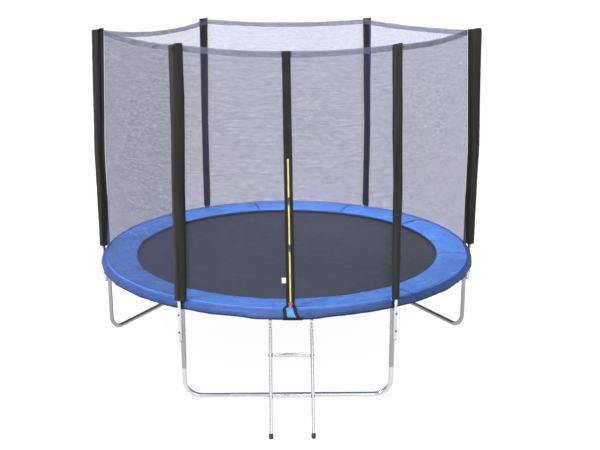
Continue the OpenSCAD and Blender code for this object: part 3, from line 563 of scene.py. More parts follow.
# %% A mesh from a grid of points
def run_of(points, axis):
    """How far each point of a grid lies along one of its directions, in metres."""
    steps = np.linalg.norm(np.diff(points, axis=axis), axis=-1)
    mean = steps.mean(axis=1 - axis)
    return np.concatenate([[0.0], np.cumsum(mean)])


def face_out(piece, inside=None):
    """Turns a piece's faces to point away from a place inside it, or from its own middle."""
    centres = np.array([p.center for p in piece.data.polygons])
    weights = np.array([p.area for p in piece.data.polygons])[:, None]
    normals = np.array([p.normal for p in piece.data.polygons])
    middle = (centres * weights).sum(0) / weights.sum() if inside is None else np.array(inside)
    if ((centres - middle) * normals * weights).sum() < 0:
        piece.data.flip_normals()
    return piece


def grid_piece(name, points, material, close_u=False, close_v=False, caps=False, inside=None):
    """A mesh from a grid of points, rows along v and columns along u, with its UV in metres."""
    rows, cols = points.shape[:2]
    across, along = run_of(points, 1), run_of(points, 0)
    wide = across[-1] + np.linalg.norm(points[:, 0] - points[:, -1], axis=-1).mean()
    tall = along[-1] + np.linalg.norm(points[0] - points[-1], axis=-1).mean()
    faces, places = [], []
    for j in range(rows if close_v else rows - 1):
        for i in range(cols if close_u else cols - 1):
            i2, j2 = (i + 1) % cols, (j + 1) % rows
            faces.append((j * cols + i, j * cols + i2, j2 * cols + i2, j2 * cols + i))
            u2 = across[i2] if i2 else wide
            v2 = along[j2] if j2 else tall
            places += [(across[i], along[j]), (u2, along[j]), (u2, v2), (across[i], v2)]
    if caps:
        faces.append(tuple(reversed(range(cols))))
        places += [(across[i], along[0]) for i in reversed(range(cols))]
        faces.append(tuple((rows - 1) * cols + i for i in range(cols)))
        places += [(across[i], along[-1]) for i in range(cols)]
    mesh = bpy.data.meshes.new(name)
    mesh.from_pydata(points.reshape(-1, 3).tolist(), [], faces)
    mesh.uv_layers.new(name="UVMap").data.foreach_set("uv", np.array(places, np.float32).ravel())
    mesh.polygons.foreach_set("use_smooth", [True] * len(faces))
    mesh.materials.append(material)
    piece = bpy.data.objects.new(name, mesh)
    scene.collection.objects.link(piece)
    return face_out(piece, inside)


print("grid helpers ready")


# %% Helpers that finish a piece
def keep_share(piece, name, share):
    """Keeps a value from 0 to 1 at each point of a grid piece, which its finish can read."""
    piece.data.attributes.new(name, "FLOAT", "POINT").data.foreach_set("value", share.ravel())


def pick(piece):
    """Makes one piece the only selected and active one."""
    deselect()
    piece.select_set(True)
    bpy.context.view_layer.objects.active = piece


def thicken(piece, thickness, offset=-1.0):
    """Turns a sheet into a thin shell, on its inside, middle or outside: -1, 0 or 1."""
    pick(piece)
    shell = piece.modifiers.new("thickness", "SOLIDIFY")
    shell.thickness = thickness
    shell.offset = offset
    bpy.ops.object.modifier_apply(modifier=shell.name)
    bpy.ops.object.shade_smooth_by_angle(angle=math.radians(45))
    return piece


def settle(piece, body, slot, *nodes):
    """Ties a finished piece to its body and hides the CAD pieces that it replaces; slot is not
    used.
    """
    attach(piece, body)
    if nodes:
        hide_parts(*nodes)
    return piece


def joined(name, pieces):
    """Joins pieces into one, and merges nothing."""
    deselect()
    for piece in pieces:
        piece.select_set(True)
    bpy.context.view_layer.objects.active = pieces[0]
    bpy.ops.object.join()
    bpy.context.object.name = name
    return bpy.context.object


print("finishing helpers ready")

# %% [markdown]
# ## Sizes that the cloth pieces share
# The poles stand straight up to their bend and then lean in.
# The net hangs between the fins of the sleeves, and its lower edge lies on the pad.
# Between two poles the upper edge sags, by its own amount on each of the six sides.
# The lower edge bellies out a little where it lies on the round pad,
# and each side leans in towards its upper edge.

# %% Pole and net lines
RING_MIDDLE = (0, RING_Y, 1.0)
POLE_R, POLE_BEND, POLE_LEAN = 1.5378, 1.5818, math.radians(2.6)
FIN_REACH = 0.0518
HEM_HALF = 0.0023
NET_FOOT, NET_TOP = 0.766, 2.550
NET_SAG = {-30: 0.044, 30: 0.024, 90: 0.016, 150: 0.028, 210: 0.052, 270: 0.022}
NET_BELLY, NET_LEAN = 0.014, -0.04454
TOP_HEM = 0.042


def pole_radius(z):
    """How far the pole's middle stands from the ring's axis at a height."""
    return POLE_R - np.maximum(0, z - POLE_BEND) * math.tan(POLE_LEAN)


def net_edge(z):
    """The same for the net's edge, which is sewn to the sleeve's fin."""
    return pole_radius(z) - FIN_REACH - HEM_HALF


def out_dir(angle):
    """The way out from the ring's axis at an angle, in plan."""
    a = math.radians(angle)
    return np.array([math.sin(a), -math.cos(a)])


def net_points(angle, u, h):
    """Points on the net from the leg at angle to the next, for shares u across and h up.

    The sheet is flat from pole to pole. Its edges follow the poles' bend.
    """
    u, h = np.broadcast_arrays(np.asarray(u, float), np.asarray(h, float))
    low = net_edge(NET_FOOT)
    level = low + NET_LEAN * h
    bent = net_edge(NET_FOOT + (NET_TOP - NET_FOOT) * h) - level
    first, second = out_dir(angle), out_dir(angle + 60)
    chord = first * (1 - u)[..., None] + second * u[..., None]
    length = np.linalg.norm(chord, axis=-1)
    belly = (low * (1 - length) + NET_BELLY * np.sin(np.pi * u)) * (1 - h)
    flat = chord * level[..., None] + chord / length[..., None] * belly[..., None]
    flat = flat + first * (bent * np.maximum(0, 1 - 2 * u) ** 2)[..., None]
    flat = flat + second * (bent * np.maximum(0, 2 * u - 1) ** 2)[..., None]
    z = NET_FOOT + (NET_TOP - NET_FOOT) * h - 4 * NET_SAG[angle] * u * (1 - u) * h
    return np.stack([flat[..., 0], flat[..., 1] + RING_Y, z], axis=-1), chord / length[..., None]


foot_middle = net_points(-30, 0.5, 0.0)[0]
print("net foot in front at", np.round(foot_middle, 4))

# %% [markdown]
# ## Net panels
# Real netting is one flat sheet that tension pulls nearly straight between the poles.
# Each panel is a fine grid on that surface, with faint waves that fade out at its sewn edges.

# %% Place of the door's slit
STRIP_FOOT_X, STRIP_TOP_X, SEAM_HALF = 0.020, -0.00514, 0.006


def door_share(x, h):
    """The share across the front side at which a place x metres from its middle lies."""
    low = net_edge(NET_FOOT)
    wide = low + NET_LEAN * h
    belly = (low * (1 - math.cos(math.pi / 6)) + NET_BELLY) * (1 - h)
    return 0.5 + x / (wide + 2 * belly / math.sqrt(3))


def strip_x(h):
    """The strip leans, so its place across changes with the height."""
    return STRIP_FOOT_X + (STRIP_TOP_X - STRIP_FOOT_X) * h


print("slit at", round(strip_x(0), 3), "m at the foot and", round(strip_x(1), 3), "m at the top")


# %% Net panels
PANEL_W, SHADE_FADE, SEWN_SHARE = 1.5, 0.020, 0.0008


def net_panel(name, leg, material, seed, side, shade, columns=120, rows=72):
    """A panel of net, or the half on one side of the door.

    The shade is how far its thread lies against the sleeve at each end, in metres.
    """
    angle = LEG_ANGLES[leg]
    h = np.linspace(0.003, 1 - 0.004, rows)[:, None]
    s = np.linspace(0, 1, columns)[None, :]
    start, end = SEWN_SHARE + 0 * h, 1 - SEWN_SHARE + 0 * h
    if side == "left":
        end = door_share(strip_x(h) - SEAM_HALF, h)
    if side == "right":
        start = door_share(strip_x(h) + SEAM_HALF, h)
    u = start + (end - start) * s
    points, outward = net_points(angle, u, h)
    calm = np.clip(np.minimum(s, 1 - s) * 6, 0, 1) * np.clip(np.minimum(h, 1 - h) * 8, 0, 1)
    waves = 0.005 * wobble(seed, u * 7, h * 3) + 0.0022 * wobble(seed + 1, u * 3, h * 24)
    points[..., :2] += outward * (waves * calm)[..., None]
    panel = grid_piece(name, points, material, inside=RING_MIDDLE)
    near = 0 * h
    for reach, from_edge in zip(shade, (s, 1 - s)):
        near = near + ease((reach - from_edge * PANEL_W) / SHADE_FADE + 0.5)
    keep_share(panel, "near_sleeve", near)
    return panel


HALF_FLAT, WHOLE_FLAT = (0.80, 1.79), (1.58, 1.80)
PANELS = [
    ("net_front_left", "front_left", net_front, "left", HALF_FLAT, (0, 0)),
    ("net_front_right", "front_left", net_front, "right", HALF_FLAT, (0, 0)),
    ("net_right_front", "front_right", net_front, None, WHOLE_FLAT, (0, 0)),
    ("net_right_back", "right", net_back, None, WHOLE_FLAT, (0, 0.080)),
    ("net_back", "back_right", net_back, None, WHOLE_FLAT, (0.044, 0.032)),
    ("net_left_back", "back_left", net_back, None, WHOLE_FLAT, (0.110, 0)),
    ("net_left_front", "left", net_side, None, WHOLE_FLAT, (0, 0)),
]
for number, (name, leg, material, side, flat, shade) in enumerate(PANELS):
    panel = net_panel(name + "_mesh", leg, material, number, side, shade)
    settle(panel, "frame", "net_mesh", name)


# %% [markdown]
# ## Net hems
# The upper edge is turned over and sewn, so it shows as a denser band in a shallow curve.
# The lower edge is bound with narrow blue tape and lies on the pad.


# %% Net hems
def hem_ring(name, material, h_rows, seed, ripple, per_side=60):
    """A band round all six sides. Each function in h_rows gives one row's share up the net."""
    rows = []
    for h_of in h_rows:
        row = []
        for leg in LEGS:
            u = np.arange(per_side) / per_side
            points, outward = net_points(LEG_ANGLES[leg], u, h_of(u, NET_SAG[LEG_ANGLES[leg]]))
            calm = np.clip(np.minimum(u, 1 - u) * 10, 0.1, 1)
            shift = ripple * wobble(seed + len(rows), u * 14, 0 * u + LEG_ANGLES[leg]) * calm
            points[..., :2] += outward * shift[..., None]
            points[..., 2] += shift * 1.6
            row.append(points)
        rows.append(np.concatenate(row))
    return grid_piece(name, np.array(rows), material, close_u=True, inside=RING_MIDDLE)


def top_share(drop):
    """A row that hangs below the sagging upper edge."""
    return lambda u, sag: 1 - drop / (NET_TOP - NET_FOOT - 4 * sag * u * (1 - u))


def foot_share(rise):
    """A row that stands above the net's foot."""
    return lambda u, sag: 0 * u + rise / (NET_TOP - NET_FOOT)


drops = (TOP_HEM, 0.031, 0.020, 0.010, 0.0)
top_hem = hem_ring("net_top_band", net_band, [top_share(drop) for drop in drops], 21, 0.0022)
thicken(top_hem, 0.0016, 0.0)
settle(top_hem, "frame", "net_hem", "net_top_hem")
rises = (0.0, 0.002, 0.004, 0.006)
foot_hem = hem_ring("net_foot_binding", hem_cloth, [foot_share(r) for r in rises], 31, 0.0012)
thicken(foot_hem, 0.0022, 0.0)
settle(foot_hem, "frame", "dark_hem", "net_foot_hem")
print("hems", len(top_hem.data.polygons), len(foot_hem.data.polygons), "faces")

# %% [markdown]
# ## Pole sleeves
# Each pole wears foam tubes and a loose black sleeve with a sewn fin on the net's side.
# The sleeve is a tube swept up the pole, drawn out into the fin, with noise for its folds.
# Each side of a sleeve hangs slack by its own amount at its foot, middle and top.
# A short slit at the top lets the cap's peg out.


# %% The pole's bent line
BEND_FROM, BEND_R = 1.575, 0.3


def pole_frame(leg, s):
    """The pole's axis points and outward directions at lengths s up the pole."""
    arc = np.clip((s - BEND_FROM) / BEND_R, 0, POLE_LEAN)
    rest = np.maximum(0, s - BEND_FROM - BEND_R * POLE_LEAN)
    r = POLE_R - BEND_R * (1 - np.cos(arc)) - rest * math.sin(POLE_LEAN)
    z = np.minimum(s, BEND_FROM) + BEND_R * np.sin(arc) + rest * math.cos(POLE_LEAN)
    lean = np.clip(arc, 0, POLE_LEAN)
    a = math.radians(LEG_ANGLES[leg])
    axis = polar(r, LEG_ANGLES[leg], z)
    radial = np.array([math.sin(a), -math.cos(a), 0.0])
    side = np.array([math.cos(a), math.sin(a), 0.0])
    outward = radial * np.cos(lean)[..., None] + np.array([0, 0, 1.0]) * np.sin(lean)[..., None]
    return axis, outward, side


print("poles lean", round(math.degrees(POLE_LEAN), 2), "degrees above", BEND_FROM, "m")

# %% The sleeve's outline, folds and rim
SLEEVE_R, ROUND_STEPS, FIN_GAP = 0.0238, 40, math.radians(22)
SLEEVE_FOOT, SLEEVE_TOP, SLEEVE_ROWS, PEG_SLIT = 0.7760, 2.5560, 180, 0.0285
FIN = [
    (-0.0275, 0.0042), (-0.033, 0.0026), (-0.042, 0.0021), (-0.0505, 0.0019),
    (-FIN_REACH, 0.0007),
]


def sleeve_section():
    """The sleeve's outline: nearly a full circle, then the fin. Each point is (out, side)."""
    turn = np.linspace(-math.pi + FIN_GAP, math.pi - FIN_GAP, ROUND_STEPS)
    circle = np.stack([SLEEVE_R * np.cos(turn), SLEEVE_R * np.sin(turn)], axis=-1)
    back = [(x, -y) for x, y in reversed(FIN)]
    return np.concatenate([circle, FIN, back])


def sleeve_folds(seed, angle, s):
    """Slack folds in the cloth, which can't go deeper than the foam under it."""
    ca, sa = np.cos(angle), np.sin(angle)
    folds = 0.0024 * wobble(seed, ca * 1.6, sa * 1.6, s * 5)
    folds = folds + 0.0016 * wobble(seed + 3, ca * 2.5, sa * 2.5, s * 21)
    twist = 3 * wobble(seed + 9, 0 * angle, 0 * angle, s * 1.6)
    folds = folds + 0.0020 * np.sin(angle * 5 + twist)
    return np.maximum(folds, -0.0006)


def sleeve_top(seed, angle, away):
    """The upper rim's height round the sleeve, with the slit that the cap's peg needs."""
    slit = ease((math.radians(19) - np.abs(angle)) / math.radians(9))
    rim = 0.0015 + 0.0025 * np.sin(angle * 2 + seed) + 0.005 * away - 0.003 * np.cos(angle)
    return SLEEVE_TOP + rim * (1 - slit) - PEG_SLIT * slit


print("sleeve outline", len(sleeve_section()), "points")


# %% Pole sleeves
def sleeve_piece(leg, seed, left_slack, right_slack, hang_back=0.0):
    """A sleeve. Each side's slack is how far it stands off at its foot, middle and top."""
    section = sleeve_section()
    p, q = section[:, 0][None, :], section[:, 1][None, :]
    angle = np.arctan2(q, p)
    # Away is 1 where the sleeve faces right, and -1 where it faces left.
    _, outward, side = pole_frame(leg, np.array([SLEEVE_FOOT]))
    away = outward[0, 0] * np.cos(angle) + side[0] * np.sin(angle)
    t = np.linspace(0, 1, SLEEVE_ROWS)[:, None]
    s = SLEEVE_FOOT + (sleeve_top(seed, angle, away) - SLEEVE_FOOT) * t
    axis, outward, side = pole_frame(leg, s)
    ends = np.clip(np.minimum(t, 1 - t) * 15, 0, 1)
    folds = sleeve_folds(seed, angle, s)
    sag = 0.97 + 0.10 * wobble(seed + 7, 0 * angle, 0 * angle, s * 2.5)
    # The slack follows the parabola through its three values.
    curve = np.concatenate([(1 - t) * (1 - 2 * t), 4 * t * (1 - t), t * (2 * t - 1)], axis=1)
    left = (curve @ left_slack)[:, None] * np.clip(-away, 0, 1) ** 1.5 * sag
    right = (curve @ right_slack)[:, None] * np.clip(away, 0, 1) ** 1.2 * sag
    fin_part = np.clip((-p - 0.026) / 0.01, 0, 1)
    grow = 1 + folds * (1 - fin_part) / SLEEVE_R
    sway = 0.003 * fin_part * wobble(seed + 5, 0 * p, 0 * p, s * 8) * ends
    out, across = p * grow, q * grow + sway
    points = axis + outward * out[..., None] + side * across[..., None]
    points[..., 0] += (right - left) * (1 - fin_part)
    points[..., 1] += right * hang_back * (1 - fin_part)
    points[..., 2] -= 0.006 * np.maximum(np.sin(angle + seed), 0) * np.clip(1 - t * 9, 0, 1)
    tube = grid_piece("sleeve_cover_" + leg, points, sleeve_cloth, close_u=True)
    return thicken(tube, 0.0012, -1.0)


SLACK = {
    "front_left": ((0.008, 0.000, 0.013), (0.030, 0.045, 0.031), 0.5),
    "front_right": ((0.006, 0.016, 0.020), (0.002, 0.001, 0.000)),
    "right": ((0.000, 0.008, 0.002), (0.018, 0.022, 0.038)),
    "back_right": ((0.004, 0.005, 0.014), (0.006, 0.007, 0.012)),
    "back_left": ((0.012, 0.014, 0.028), (0.002, 0.002, 0.000)),
    "left": ((0.008, 0.009, 0.018), (0.020, 0.003, 0.000)),
}
for number, leg in enumerate(LEGS):
    cover = sleeve_piece(leg, number * 2.7 + 1, *SLACK[leg])
    settle(cover, "frame", "black_fabric", "sleeve_" + leg)
print("sleeves", len(cover.data.polygons), "faces each")

# %% Foam tubes inside the sleeves
FOAM_SPANS = ((0.782, 1.569), (1.595, 2.506))
FOAM_RINGS = [
    (0.0128, 0.0, 0), (0.0205, 0.0, 0), (0.0216, 0.0015, 0),
    (0.0216, -0.0015, 1), (0.0205, 0.0, 1), (0.0128, 0.0, 1),
]

turn = np.linspace(0, 2 * math.pi, 24, endpoint=False)[:, None]
foam_tubes = []
for leg in LEGS:
    for span in FOAM_SPANS:
        axis, outward, side = pole_frame(leg, np.array(span))
        rows = []
        for r, dz, end in FOAM_RINGS:
            ring = axis[end] + outward[end] * (r * np.cos(turn)) + side * (r * np.sin(turn))
            rows.append(ring + np.array([0, 0, dz]))
        foam_tubes.append(grid_piece("foam", np.array(rows), grey_foam, close_u=True, close_v=True))
foam = settle(joined("pole_foam_tubes", foam_tubes), "frame", "foam", "pole_foam")
print("foam tubes", len(foam.data.polygons), "faces")

# %% [markdown]
# ## Safety pad
# The pad is a foam ring in a coated cover, pieced from sections with seams across it.
# Its section is a closed outline. Going round, the outline dips at each seam and puffs between.
# Thin creases are laid over it, most of them near the door and the seams.
# The mesh keeps an attribute that tells the finish where to paint shade: in each seam and on the
# pad's inner lower face.

# %% The pad's outline and seams
PAD_IN, PAD_OUT, PAD_FOOT = 1.2430, 1.5200, 0.7358
DEGREE = 0.024  # metres along the pad for one degree round the ring
SEAMS = np.array([-168, -133, -100, -63, -35, -4, 37.5, 61, 82, 124, 156, 178.0])
SEAM_SHADE = np.array([0.7, 0.5, 0.25, 0.4, 0.6, 0.0, 0.9, 0.4, 1.0, 1.0, 0.8, 0.6])
SEAM_PULL = {-100.0: 0.014, -63.0: 0.012, 37.5: 0.007, 124.0: 0.008}
LADDER_X, HOOK_AWAY = 0.021, 0.143
HOOK_X = (LADDER_X - HOOK_AWAY, LADDER_X + HOOK_AWAY)
PAD_OUTLINE = [
    (1.2425, 0.7290), (1.2450, 0.7240), (1.2600, 0.7235), (1.3100, 0.7255), (1.3550, 0.7345),
    (1.4000, PAD_FOOT), (1.4600, PAD_FOOT), (1.5120, PAD_FOOT), (1.5185, 0.7375), (1.5200, 0.7410),
    (1.5197, 0.7445), (1.5182, 0.7478), (1.5145, 0.7510), (1.5080, 0.7540), (1.4960, 0.7572),
    (1.4760, 0.7594), (1.4500, 0.7606), (1.4200, 0.7608), (1.3900, 0.7602), (1.3600, 0.7592),
    (1.3300, 0.7578), (1.3000, 0.7558), (1.2800, 0.7536), (1.2620, 0.7508), (1.2510, 0.7468),
    (1.2450, 0.7400), (1.2425, 0.7345),
]
print("seams across the pad", len(SEAMS))


# %% Helpers for the pad
def rounded(outline, per_point=2):
    """A closed outline drawn through its points with smooth curves."""
    points = np.array(outline)
    t = np.arange(per_point) / per_point
    before, after = np.roll(points, 1, 0), np.roll(points, -1, 0)
    later = np.roll(points, -2, 0)
    parts = []
    for k in t:
        parts.append(
            0.5 * (
                2 * points + (after - before) * k
                + (2 * before - 5 * points + 4 * after - later) * k**2
                + (3 * points - before - 3 * after + later) * k**3
            )
        )
    return np.stack(parts, axis=1).reshape(-1, 2)


def degrees_between(a, b):
    """The shorter way round the ring from one angle to another."""
    return np.abs((a - b + 180) % 360 - 180)


def ridge(seed, *coords):
    """Thin creases: 1 along lines where smooth noise crosses zero, 0 away from them."""
    return np.clip(1 - np.abs(wobble(seed, *coords)) * 4.5, 0, 1) ** 1.5


def pad_angles():
    """Even steps round the ring, with more rows beside every seam."""
    steps = np.array([-0.3, -0.2, -0.12, -0.06, 0, 0.06, 0.12, 0.2, 0.3])
    beside = (SEAMS[:, None] + steps).ravel()
    angles = np.unique(np.round(np.concatenate([np.arange(0, 360, 0.4), beside % 360]), 3))
    return angles[np.diff(angles, append=angles[0] + 360) > 0.03]


print("pad outline", len(rounded(PAD_OUTLINE)), "points, rows", len(pad_angles()))


# %% Seams and folds of the pad's cover
SEAM_DIP, SEAM_GROOVE, CROWN, MOST_LIFT = 0.0045, 0.0030, 0.0026, 0.0045
LONG_FOLD, SHORT_FOLD, PUFF_RUN = 0.0054, 0.0044, 0.10
HOOK_ROOM, HOOK_HALF, HOOK_FROM_R = 0.0085, 0.028, 1.462


def seam_lift(across, gap):
    """The cover dips at a seam and puffs up to a low crown between two seams."""
    edges = np.clip(np.sin(np.pi * np.clip(across, 0.03, 0.97)) * 3, 0, 1)
    groove = np.exp(-((gap / 0.0048) ** 2))
    dip = -(SEAM_DIP * np.exp(-((gap / 0.016) ** 2)) + SEAM_GROOVE * groove) * edges
    return dip + CROWN * (1 - np.exp(-gap / PUFF_RUN)) * np.sin(np.pi * across)


def fold_lift(a, r, across, gap):
    """Creases and soft lumps. Most creases lie near the door and the seams."""
    cx, cy = np.cos(np.radians(a)), np.sin(np.radians(a))
    door = degrees_between(a, 0) * DEGREE
    busy = 0.30 + 0.95 * np.exp(-((door / 0.65) ** 2)) + 0.5 * np.exp(-gap / PUFF_RUN)
    long_folds = ridge(21, cx * 10 + r * 7, cy * 10 - r * 7, r * 5)
    short_folds = ridge(23, cx * 26, cy * 26, r * 8)
    inner = 0.0026 * np.exp(-across / 0.16) * wobble(5, cx * 26, cy * 26, 0 * r)
    soft = 0.0020 * wobble(9, cx * 9, cy * 9, r * 9)
    soft = soft + 0.0012 * wobble(11, cx * 30, cy * 30, r * 24)
    return inner + soft - busy * (LONG_FOLD * long_folds + SHORT_FOLD * short_folds)


def draw_in(a, across, gap):
    """How far the cover's inner edge is pulled in, most of all where seams pull it."""
    cx, cy = np.cos(np.radians(a)), np.sin(np.radians(a))
    pull = sum(
        reach * np.exp(-degrees_between(a, seam) * DEGREE / 0.09)
        for seam, reach in SEAM_PULL.items()
    )
    drawn = (pull + 0.004 * np.exp(-gap / 0.02)) * np.exp(-across / 0.10)
    return drawn + 0.0030 * wobble(13, cx * 7, cy * 7) * np.exp(-across / 0.08)


def hook_pocket(a, r, z):
    """Room under the pad for the ladder's two hooks, which lie over the rail."""
    x = r * np.sin(np.radians(a))
    beside = np.minimum(np.abs(x - HOOK_X[0]), np.abs(x - HOOK_X[1]))
    in_front = np.abs(a - 180) > 90
    sides = ease((HOOK_HALF - beside) / 0.010)
    room = HOOK_ROOM * sides * ease((r - HOOK_FROM_R) / 0.010) * in_front
    return room * np.clip((0.748 - z) / 0.006, 0, 1)


print("pockets for the hooks at x", np.round(HOOK_X, 3))


# %% Safety pad
def pad_piece():
    """The cover's surface: its outline all round, with its seams, folds and pockets."""
    outline = rounded(PAD_OUTLINE)
    r, z = outline[:, 0][None, :], outline[:, 1][None, :]
    a = pad_angles()[:, None]
    gaps = degrees_between(a, SEAMS)
    gap = gaps.min(axis=1)[:, None] * DEGREE
    across = (r - PAD_IN) / (PAD_OUT - PAD_IN)
    top = np.clip((z - 0.742) / 0.012, 0, 1)
    calm = ease((1.516 - r) / 0.030)
    lift = seam_lift(across, gap) + fold_lift(a, r, across, gap) * calm
    height = z + np.minimum(lift, MOST_LIFT) * top + hook_pocket(a, r, z)
    points = polar(r + draw_in(a, across, gap), a, height)
    piece = grid_piece("pad_cover_ring", points, pad_cover, close_u=True, close_v=True)
    # Painted shade: a dark line along each seam, as strong as SEAM_SHADE gives, and the cover's
    # inner lower face, which lies in shade.
    shade = SEAM_SHADE[gaps.argmin(axis=1)][:, None]
    thread = np.exp(-((gap / 0.0085) ** 2)) * shade
    dark_band = 0.95 * ((z < 0.7445) & (r < 1.26)) + 0 * a
    keep_share(piece, "painted_shade", np.maximum(dark_band, 0.95 * thread * top))
    return piece


pad = settle(pad_piece(), "frame", "blue_cover", "safety_pad")
print("pad", len(pad.data.polygons), "faces")

# %% [markdown]
# ## Pad skirt
# A short skirt is sewn over the pad's shoulder and hangs down to hide the springs' rail.
# It is parted at each pole, bulges over the ladder's hooks and waves along its hem.

# %% The skirt's surface
SKIRT_IN, SKIRT_TOP, SKIRT_FOOT = 1.5211, 0.7505, 0.7040
SKIRT_SPLAY, SKIRT_WAVE, HOOK_BULGE = 0.0096, 0.003, 0.026
SKIRT_ROWS, BREAK_R, BREAK_Z = 11, 1.5223, 0.7445
SHOULDER = [
    (1.5222, 0.7466), (1.5210, 0.7488), (1.5186, 0.7511), (1.5146, 0.7531), (1.5085, 0.7550),
]
SHOULDER_TIP = math.radians(68)


def skirt_radius(angle, z):
    """The hanging part's plain form: splayed, waved, and bulged over the ladder's hooks."""
    fall = (SKIRT_TOP - z) / (SKIRT_TOP - SKIRT_FOOT)
    from_pole = np.abs((angle + 60) % 60 - 30)
    hooks = HOOK_BULGE * ease((13 - degrees_between(angle, 0)) / 5.5)
    puff = 0.0045 * np.sin(np.pi * np.clip(fall, 0, 1)) * ease(from_pole / 6)
    wave = SKIRT_WAVE * np.sin(np.radians(30 * angle)) * fall**2
    return SKIRT_IN + (SKIRT_SPLAY + hooks) * fall + wave + puff


def skirt_surface(a, low, stand):
    """The skirt's outer face from its hem over the shoulder, or a layer that stands off it."""
    z = np.linspace(low, BREAK_Z, SKIRT_ROWS)[:, None]
    a = np.broadcast_to(a, (SKIRT_ROWS + len(SHOULDER), a.shape[1]))
    over, a = a[SKIRT_ROWS:], a[:SKIRT_ROWS]
    fall = (SKIRT_TOP - z) / (SKIRT_TOP - SKIRT_FOOT)
    cx, cy = np.cos(np.radians(a)), np.sin(np.radians(a))
    gathers = 0.5 + 0.5 * wobble(41, cx * 40, cy * 40, 0 * z)
    gathers = gathers + 0.5 * wobble(45, cx * 95, cy * 95, z * 14)
    sunk = ridge(47, cx * 30, cy * 30, z * 26)
    ripple = 0.0034 * gathers * (0.3 + 0.7 * fall) - 0.0022 * sunk * fall
    edge = 0.0024 * wobble(43, cx * 22, cy * 22, 0 * z) * fall
    rows = [polar(skirt_radius(a, z) + ripple + 0.0008 + stand, a, z + edge)]
    for k, (r, height) in enumerate(SHOULDER):
        share = (k + 1) / len(SHOULDER)
        tip = SHOULDER_TIP * (k + 1) / len(SHOULDER)
        bulge = (skirt_radius(over[k], BREAK_Z) - BREAK_R + ripple[-1]) * (1 - share)
        out, up = stand * math.cos(tip), stand * math.sin(tip)
        rows.append(polar(r + bulge + out, over[k], height + up)[None])
    return np.concatenate(rows)


print("skirt splays from", SKIRT_IN, "to", round(float(skirt_radius(30, SKIRT_FOOT)), 4))

# %% Pad skirt
PART_HALF = 0.0155
PART_TURN = math.degrees(math.asin(PART_HALF / SKIRT_IN))


def side_ends(leg):
    """The angles between which a strip runs from one pole's part to the next."""
    return LEG_ANGLES[leg] + PART_TURN, LEG_ANGLES[leg] + 60 - PART_TURN


strips = []
for leg in LEGS:
    a = np.linspace(*side_ends(leg), 200)[None, :]
    surface = skirt_surface(a, SKIRT_FOOT, 0.0)
    strips.append(grid_piece("skirt_strip", surface, skirt_cloth, inside=RING_MIDDLE))
skirt = joined("pad_skirt_cloth", strips)
thicken(skirt, 0.0010, 1.0)
settle(skirt, "frame", "blue_skirt", "pad_skirt")
print("skirt", len(skirt.data.polygons), "faces")

# %% [markdown]
# ## Net apron
# The net doesn't end at the pad: its lowest part goes over the shoulder and down the skirt.
# It is a second layer a few millimetres off the skirt, open at each pole and below the door.

# %% Net apron
# Each tape by the door: where it starts on the strip, and its x on the pad and at the hem.
DOOR_TAPES = ((-0.020, -0.024, -0.012), (0.020, 0.050, 0.083))
APRON_FOOT, APRON_STAND = 0.7085, 0.0026
EDGE_R, LIP_R, LIP_Z, TOP_R, TOP_Z = 1.525, 1.5030, 0.7630, 1.4840, 0.7658


def apron_strip(start, end, columns, door=None):
    """One strip of the apron. At a door edge its end follows the tape down the skirt."""
    rows = SKIRT_ROWS + len(SHOULDER)
    share = np.clip(1 - np.linspace(0, 1.35, rows), 0, 1)[:, None]
    if door is not None:
        _, on_pad, at_hem = door
        edge = np.degrees(np.arcsin((on_pad + (at_hem - on_pad) * share) / EDGE_R))
        start, end = (start, edge) if end is None else (edge, end)
    a = start + (end - start) * np.linspace(0, 1, columns)[None, :] + 0 * share
    body = skirt_surface(a, APRON_FOOT, APRON_STAND)
    turn = a[-1:]
    foot = TOP_R + NET_BELLY * np.sin(np.pi * ((turn + 30) % 60) / 60)
    upper = [polar(LIP_R + 0 * turn, turn, LIP_Z), polar(foot + 0.0015, turn, TOP_Z)]
    surface = np.concatenate([body, *upper])
    return grid_piece("apron_strip", surface, net_front, inside=RING_MIDDLE)


left_end, right_end = side_ends("front_left")
aprons = [
    apron_strip(left_end, None, 90, DOOR_TAPES[0]),
    apron_strip(None, right_end, 90, DOOR_TAPES[1]),
]
for leg in LEGS[1:]:
    aprons.append(apron_strip(*side_ends(leg), 180))
apron = settle(joined("net_apron", aprons), "frame", "net_mesh")
print("apron", len(apron.data.polygons), "faces")

# %% [markdown]
# ## Jumping mat, rings and springs
# Under a jumper the mat sinks in the middle while its springs stretch.
# The mat, its webbing, the V rings and the springs are therefore cut into twelve wedges.

# %% Helpers for the wedges
WEDGES, WEDGE_COLUMNS = 12, 13
WEDGE_TURN = 360 / WEDGES
FAR_BELOW = (0, RING_Y, -9)
MAT_R, MAT_Z, MAT_T = 1.290, 0.718, 0.0024
BEND_OUT_R, BEND_IN_R = 1.47, 0.35


def bend_with_mat(piece, angle):
    """Bakes the piece's placement into its mesh. Its points at the rail and near the middle are
    worked out and not used.
    """
    start = polar(BEND_OUT_R, angle, MAT_Z)
    end = polar(BEND_IN_R, angle, MAT_Z)
    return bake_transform(piece)


def plan_uv(piece):
    """Lays the weave out straight across the whole mat, and not round each wedge."""
    layer = piece.data.uv_layers["UVMap"].data
    for loop in piece.data.loops:
        at = piece.data.vertices[loop.vertex_index].co
        layer[loop.index].uv = (at.x, at.y)


def disc_wedge(name, angle, radii, z, thickness, material):
    """A flat sheet over one wedge, with a row of points at each radius."""
    a = np.linspace(angle - WEDGE_TURN / 2, angle + WEDGE_TURN / 2, WEDGE_COLUMNS)[None, :]
    r = np.array(radii)[:, None]
    piece = grid_piece(name, polar(r, a, z + 0 * r * a), material, inside=FAR_BELOW)
    plan_uv(piece)
    return thicken(piece, thickness, 1.0)


